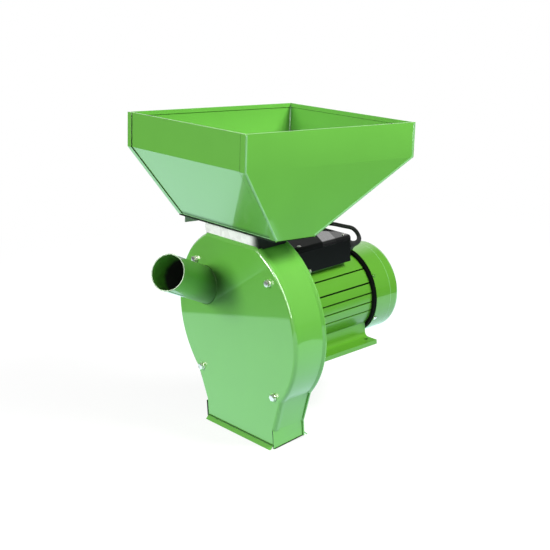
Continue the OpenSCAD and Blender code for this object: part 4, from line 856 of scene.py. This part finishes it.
def makeJointFillet(s):
    bm, rings = bmesh.new(), []
    line = rearOutline(s)
    for k, p in enumerate(line):
        along = headingAt(line, k)
        inward = Vector((-along.z, 0, along.x)).normalized() * mm
        inward *= 1 if inward.dot(point(*s["axis"]) - p) > 0 else -1
        back, fore = Vector((0, s["back"] * mm, 0)), Vector((0, s["depth"] * mm, 0))
        corners = (p + inward * s["edge"], p + inward * s["under"] + back, p + inward * s["inset"] - fore)
        rings.append([bm.verts.new(c) for c in corners])
    for one, two in zip(rings, rings[1:]):  # the long faces are twisted, so their corners' order matters
        for i in range(3):
            bm.faces.new((one[i], one[i - 1], two[i - 1], two[i]))
    for end in (rings[0], rings[-1]):
        bm.faces.new(end)
    asObject("jointFillet", bm, "green_paint", bodyOf["rear_plate"])


makeJointFillet(jointSettings)


# Pan head with a cross recess: the recess rings are drawn out along four arms
crossSettings = {"rings": (0.1, 0.3), "narrow": 0.85, "reach": 2.9}


def crossHead(bm, r, h, matrix, turn):
    s = crossSettings
    inner, outer = (share * r * mm for share in s["rings"])
    before = set(bm.verts)
    spun(bm, [(0, h - 0.9), (0.16 * r, h - 0.75), (0.2 * r, h - 0.02), (0.66 * r, h - 0.1),
              (0.86 * r, 0.78 * h), (0.97 * r, 0.5 * h), (r, 0.2 * h), (r, 0), (0, 0)], Matrix.Identity(4))
    head = addedTo(bm, before)
    for v in head:
        arm = abs(math.cos(2 * math.atan2(v.co.y, v.co.x)))
        if inner < v.co.xy.length < outer and arm > s["narrow"]:
            v.co.xy *= s["reach"]
    bmesh.ops.transform(bm, matrix=matrix @ turned(turn), verts=head)


def fourCorners(x, near, far):
    return [(-x, near), (x, near), (-x, far), (x, far)]


# Screws of the lid, of the fan cover (the one on the right, above, is painted over) and of the hopper's floor
lidScrews = {"x": 46, "near": 126, "far": 238, "z": 352, "r": 3.8, "h": 2.0, "turn": 0.4, "step": 0.7}
fanScrews = {"ring": 87.5, "z": 222, "y": 287, "angle": 30, "r": 4.0, "h": 2.2, "turn": 0.3, "step": 0.5}
hopperScrews = {"x": 60, "y": 25.3, "z": 2, "r": 4.0, "h": 2.5, "turn": 0.2, "step": 0.6, "shankR": 2,
                "shank": 5}


def makeLidScrews(s):
    bm = bmesh.new()
    for k, (x, y) in enumerate(fourCorners(s["x"], s["near"], s["far"])):
        at = facing((0, 0, 1), point(x, y, s["z"]))
        crossHead(bm, s["r"], s["h"], at, s["turn"] + s["step"] * k)
    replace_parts(asObject("lidCrossHeads", bm, "zinc_screw", bodyOf["lid_screws"]), "lid_screws")


def makeFanScrews(s):
    bare, painted = bmesh.new(), bmesh.new()
    for k, a in enumerate((s["angle"], 180 - s["angle"], 180 + s["angle"], -s["angle"])):
        out = Vector((math.cos(math.radians(a)), 0, math.sin(math.radians(a))))
        at = facing(out, (Vector((0, s["y"], s["z"])) + s["ring"] * out) * mm)
        crossHead(bare if k else painted, s["r"], s["h"], at, s["turn"] + s["step"] * k)
    body = bodyOf["fan_cover_screws"]
    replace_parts(asObject("fanCrossHeads", bare, "zinc_screw", body), "fan_cover_screws")
    asObject("paintedCrossHead", painted, "cover_paint", body)


def makeHopperScrews(s):
    bm = bmesh.new()
    r, end = s["shankR"], -s["shank"]
    shank = [(0, end), (r - 0.4, end), (r, end + 0.4), (r, -2), (0, -2)]
    for k, (x, y) in enumerate(fourCorners(s["x"], -s["y"], s["y"])):
        at = hopperPlace @ Matrix.Translation(point(x, y, s["z"]))
        crossHead(bm, s["r"], s["h"], at, s["turn"] + s["step"] * k)
        spun(bm, shank, at, 20)
    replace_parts(asObject("hopperCrossHeads", bm, "zinc_screw", bodyOf["hopper_screws"]), "hopper_screws")


makeLidScrews(lidScrews)
makeFanScrews(fanScrews)
makeHopperScrews(hopperScrews)

# Cable gland: domed nut with grip flats and a tapered ribbed sleeve that runs out along the cord
glandSettings = {"x": 42, "y": 249, "z": 327, "hole": 4.1, "nut": 9.5, "nutR": 11.4, "neckR": 8.4, "nose": 19,
                 "noseR": 5.7, "grips": 12, "gripDeep": 0.015, "sleeve": 22, "sleeveEnd": 4.35, "rings": 7,
                 "ripple": 0.28}


def makeGland(s):
    x, y, z = s["x"], s["y"], s["z"]
    bm = bmesh.new()
    spun(bm, [(s["hole"], 0), (s["nutR"] - 0.8, 0), (s["nutR"], 0.8), (s["nutR"], s["nut"] - 2.6),
              (s["nutR"] - 0.8, s["nut"] - 1.0), (s["neckR"], s["nut"]), (s["noseR"], s["nose"]),
              (s["hole"], s["nose"]), (s["hole"], 0)], facing((0, 1, 0), point(x, y, z)), 48)
    for v in bm.verts:  # shallow grips pressed into the nut
        out = Vector((v.co.x - x * mm, 0, v.co.z - z * mm))
        if out.length > (s["nutR"] - 0.4) * mm and v.co.y < (y + s["nut"] - 2) * mm:
            v.co -= out * s["gripDeep"] * (1 - math.cos(s["grips"] * math.atan2(out.z, out.x)))
    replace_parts(asObject("glandNut", bm, "black_plastic", bodyOf["gland_nut"]), "gland_nut")
    end = y + s["nose"] + s["sleeve"]
    line = [Vector((x, y + s["nose"] - 1, z))] + [p for p in throughPoints(leadPoints[:5], 12) if p.y < end]
    thick = []
    for k in range(len(line)):
        run = k / (len(line) - 1)
        ripple = s["ripple"] * math.sin(2 * math.pi * s["rings"] * run) * (1 - run)
        thick.append(s["noseR"] + (s["sleeveEnd"] - s["noseR"]) * run + ripple)
    bm = bmesh.new()
    bead(bm, line, thick, 20)
    asObject("strainSleeve", bm, "black_plastic", bodyOf["gland_nut"], 60)


makeGland(glandSettings)
print("welds, seams, screws and gland made")


# stage helpers
def rays(wire, kind):
    return wire.node("ShaderNodeLightPath", out=kind)


def diffuse(wire, tone):
    return wire.node("ShaderNodeBsdfDiffuse", None, {"Color": (tone, tone, tone)})


def glowing(wire, strength, colour=(1, 1, 1)):
    return wire.node("ShaderNodeEmission", None, {"Color": colour, "Strength": strength})


def mixed(factor, one, two):
    return factor.node("ShaderNodeMixShader", None, {0: factor, 1: one, 2: two})


# Floor: white for the camera and dim for the object, but for a pale table that the paint mirrors.
# Slanted edges bound the table, and shade is a dark patch on it.
stageSettings = {"size": 9.0, "across": (0.55, 0.83), "left": -0.64, "right": 0.97, "soft": 0.012,
                 "bendAt": -0.68, "bend": 0.5, "near": 2.6, "nearSoft": 0.3, "side": 0.33, "sideSlant": 0.35,
                 "fore": 0.86, "foreSlant": 0.38, "foreEnd": 0.1565, "foreEndSlant": 0.45,
                 "ahead": 0.05, "aheadSoft": 0.05, "shadeX": (-0.385, -0.29, 0.008), "shadeY": (-0.09, 0.01),
                 "tableGlow": (1.00, 1.44, 1.36), "tableLight": 0.50, "roomTone": 0.03,
                 "shown": 1.3, "shownSoft": 0.3, "cameraDiffuse": 0.24, "cameraGlow": 0.80}


def makeStage(s):
    bm = bmesh.new()
    bmesh.ops.create_grid(bm, x_segments=1, y_segments=1, size=s["size"])
    mesh = bpy.data.meshes.new("floor")
    bm.to_mesh(mesh)
    bm.free()
    floor = newObject("floor", mesh)
    made, wire = newTree("lit table")
    x, y = placeAlong(wire, "X"), placeAlong(wire, "Y")
    a, b = s["across"]
    bend = s["bend"] * wire.maths("MAXIMUM", s["bendAt"] - x, 0.0)
    strip = (a * x + b * y + bend).between(s["left"], s["right"], s["soft"])
    strip = strip * (b * x - a * y).between(-s["near"], s["near"], s["nearSoft"])
    fore = (x + s["foreSlant"] * y).below(s["fore"], s["soft"])
    fore = fore * (y - s["foreEndSlant"] * x).below(s["foreEnd"], s["soft"])
    beside = wire.maths("MAXIMUM", (x - s["sideSlant"] * y).below(s["side"], s["soft"]), fore)
    beside = wire.maths("MAXIMUM", beside, y.below(s["ahead"], s["aheadSoft"]))
    table = strip * beside * (1.0 - x.between(*s["shadeX"]) * y.above(*s["shadeY"]))
    light = s["tableLight"] + (1 - s["tableLight"]) * rays(wire, "Is Glossy Ray")
    real = mixed(table, diffuse(wire, s["roomTone"]), glowing(wire, light, s["tableGlow"]))
    close = (x.between(-s["shown"], s["shown"], s["shownSoft"])
             * y.between(-s["shown"], s["shown"], s["shownSoft"]))
    pale = wire.node("ShaderNodeAddShader", None,
                     {0: diffuse(wire, s["cameraDiffuse"]), 1: glowing(wire, s["cameraGlow"])})
    shown = mixed(close, glowing(wire, 1.0), pale)
    wire.node("ShaderNodeOutputMaterial", None, {"Surface": mixed(rays(wire, "Is Camera Ray"), real, shown)})
    mesh.materials.append(made)


makeStage(stageSettings)

# Room: plain light, white for the camera, and for mirror images a bright side behind the mill on its left
roomSettings = {"world": 0.31, "room": 0.12, "backdrop": 1.0, "towards": (-0.78, 0.62, 0.05), "from": 0.45,
                "to": 0.85}


def makeRoom(s):
    world = bpy.data.worlds.new("studio")
    bpy.context.scene.world = world
    world.use_nodes = True
    world.node_tree.nodes.clear()
    wire = Wire(world.node_tree)
    way = wire.node("ShaderNodeTexCoord", out="Generated")
    side = way.vectorMaths("DOT_PRODUCT", Vector(s["towards"]).normalized())
    glow = side.eased(s["from"], s["to"], s["room"], s["backdrop"])
    plain, mirrored, white = (
        wire.node("ShaderNodeBackground", None, {"Color": (1, 1, 1), "Strength": strength})
        for strength in (s["world"], glow, 1.0))
    lower = mixed(rays(wire, "Is Glossy Ray"), plain, mirrored)
    seen = (rays(wire, "Is Camera Ray") + rays(wire, "Is Transmission Ray")).clamped()
    wire.node("ShaderNodeOutputWorld", None, {"Surface": mixed(seen, lower, white)})


# Lamps: the key lamp isn't mirrored, and the strip lamp, along the cover's rim, is only mirrored
lampSettings = {"aim": (0, 0.1, 0.3), "front": {"at": (-0.45, -2.3, 1.45), "size": 0.9, "power": 54},
                "key": {"at": (1.65, 1.05, 2.1), "size": 1.1, "power": 97},
                "strip": {"top": (0.62, -1.3, 1.9), "foot": (1.70, -1.95, 0.45), "width": 0.45, "power": 45,
                          "aim": (0.1, 0.0, 0.3)}}


def newLamp(name, size, power):
    data = bpy.data.lights.new(name, "AREA")
    data.size, data.energy = size, power
    return newObject(name, data)


def makeLamps(s):
    for name in ("front", "key"):
        lamp = newLamp(name, s[name]["size"], s[name]["power"])
        at = Vector(s[name]["at"])
        lamp.matrix_world = facing(at - Vector(s["aim"]), at)
        lamp.visible_glossy = name != "key"
    strip = s["strip"]
    top, foot = Vector(strip["top"]), Vector(strip["foot"])
    lamp = newLamp("strip", strip["width"], strip["power"])
    lamp.data.shape, lamp.data.size_y = "RECTANGLE", (top - foot).length
    lamp.visible_diffuse = False
    along, middle = (top - foot).normalized(), (top + foot) / 2
    across = along.cross((middle - Vector(strip["aim"])).normalized()).normalized()
    turn = Matrix((across, along, across.cross(along))).transposed().to_4x4()
    lamp.matrix_world = Matrix.Translation(middle) @ turn


makeRoom(roomSettings)
makeLamps(lampSettings)
bpy.context.scene.view_settings.view_transform = "Standard"
print("stage and light made")
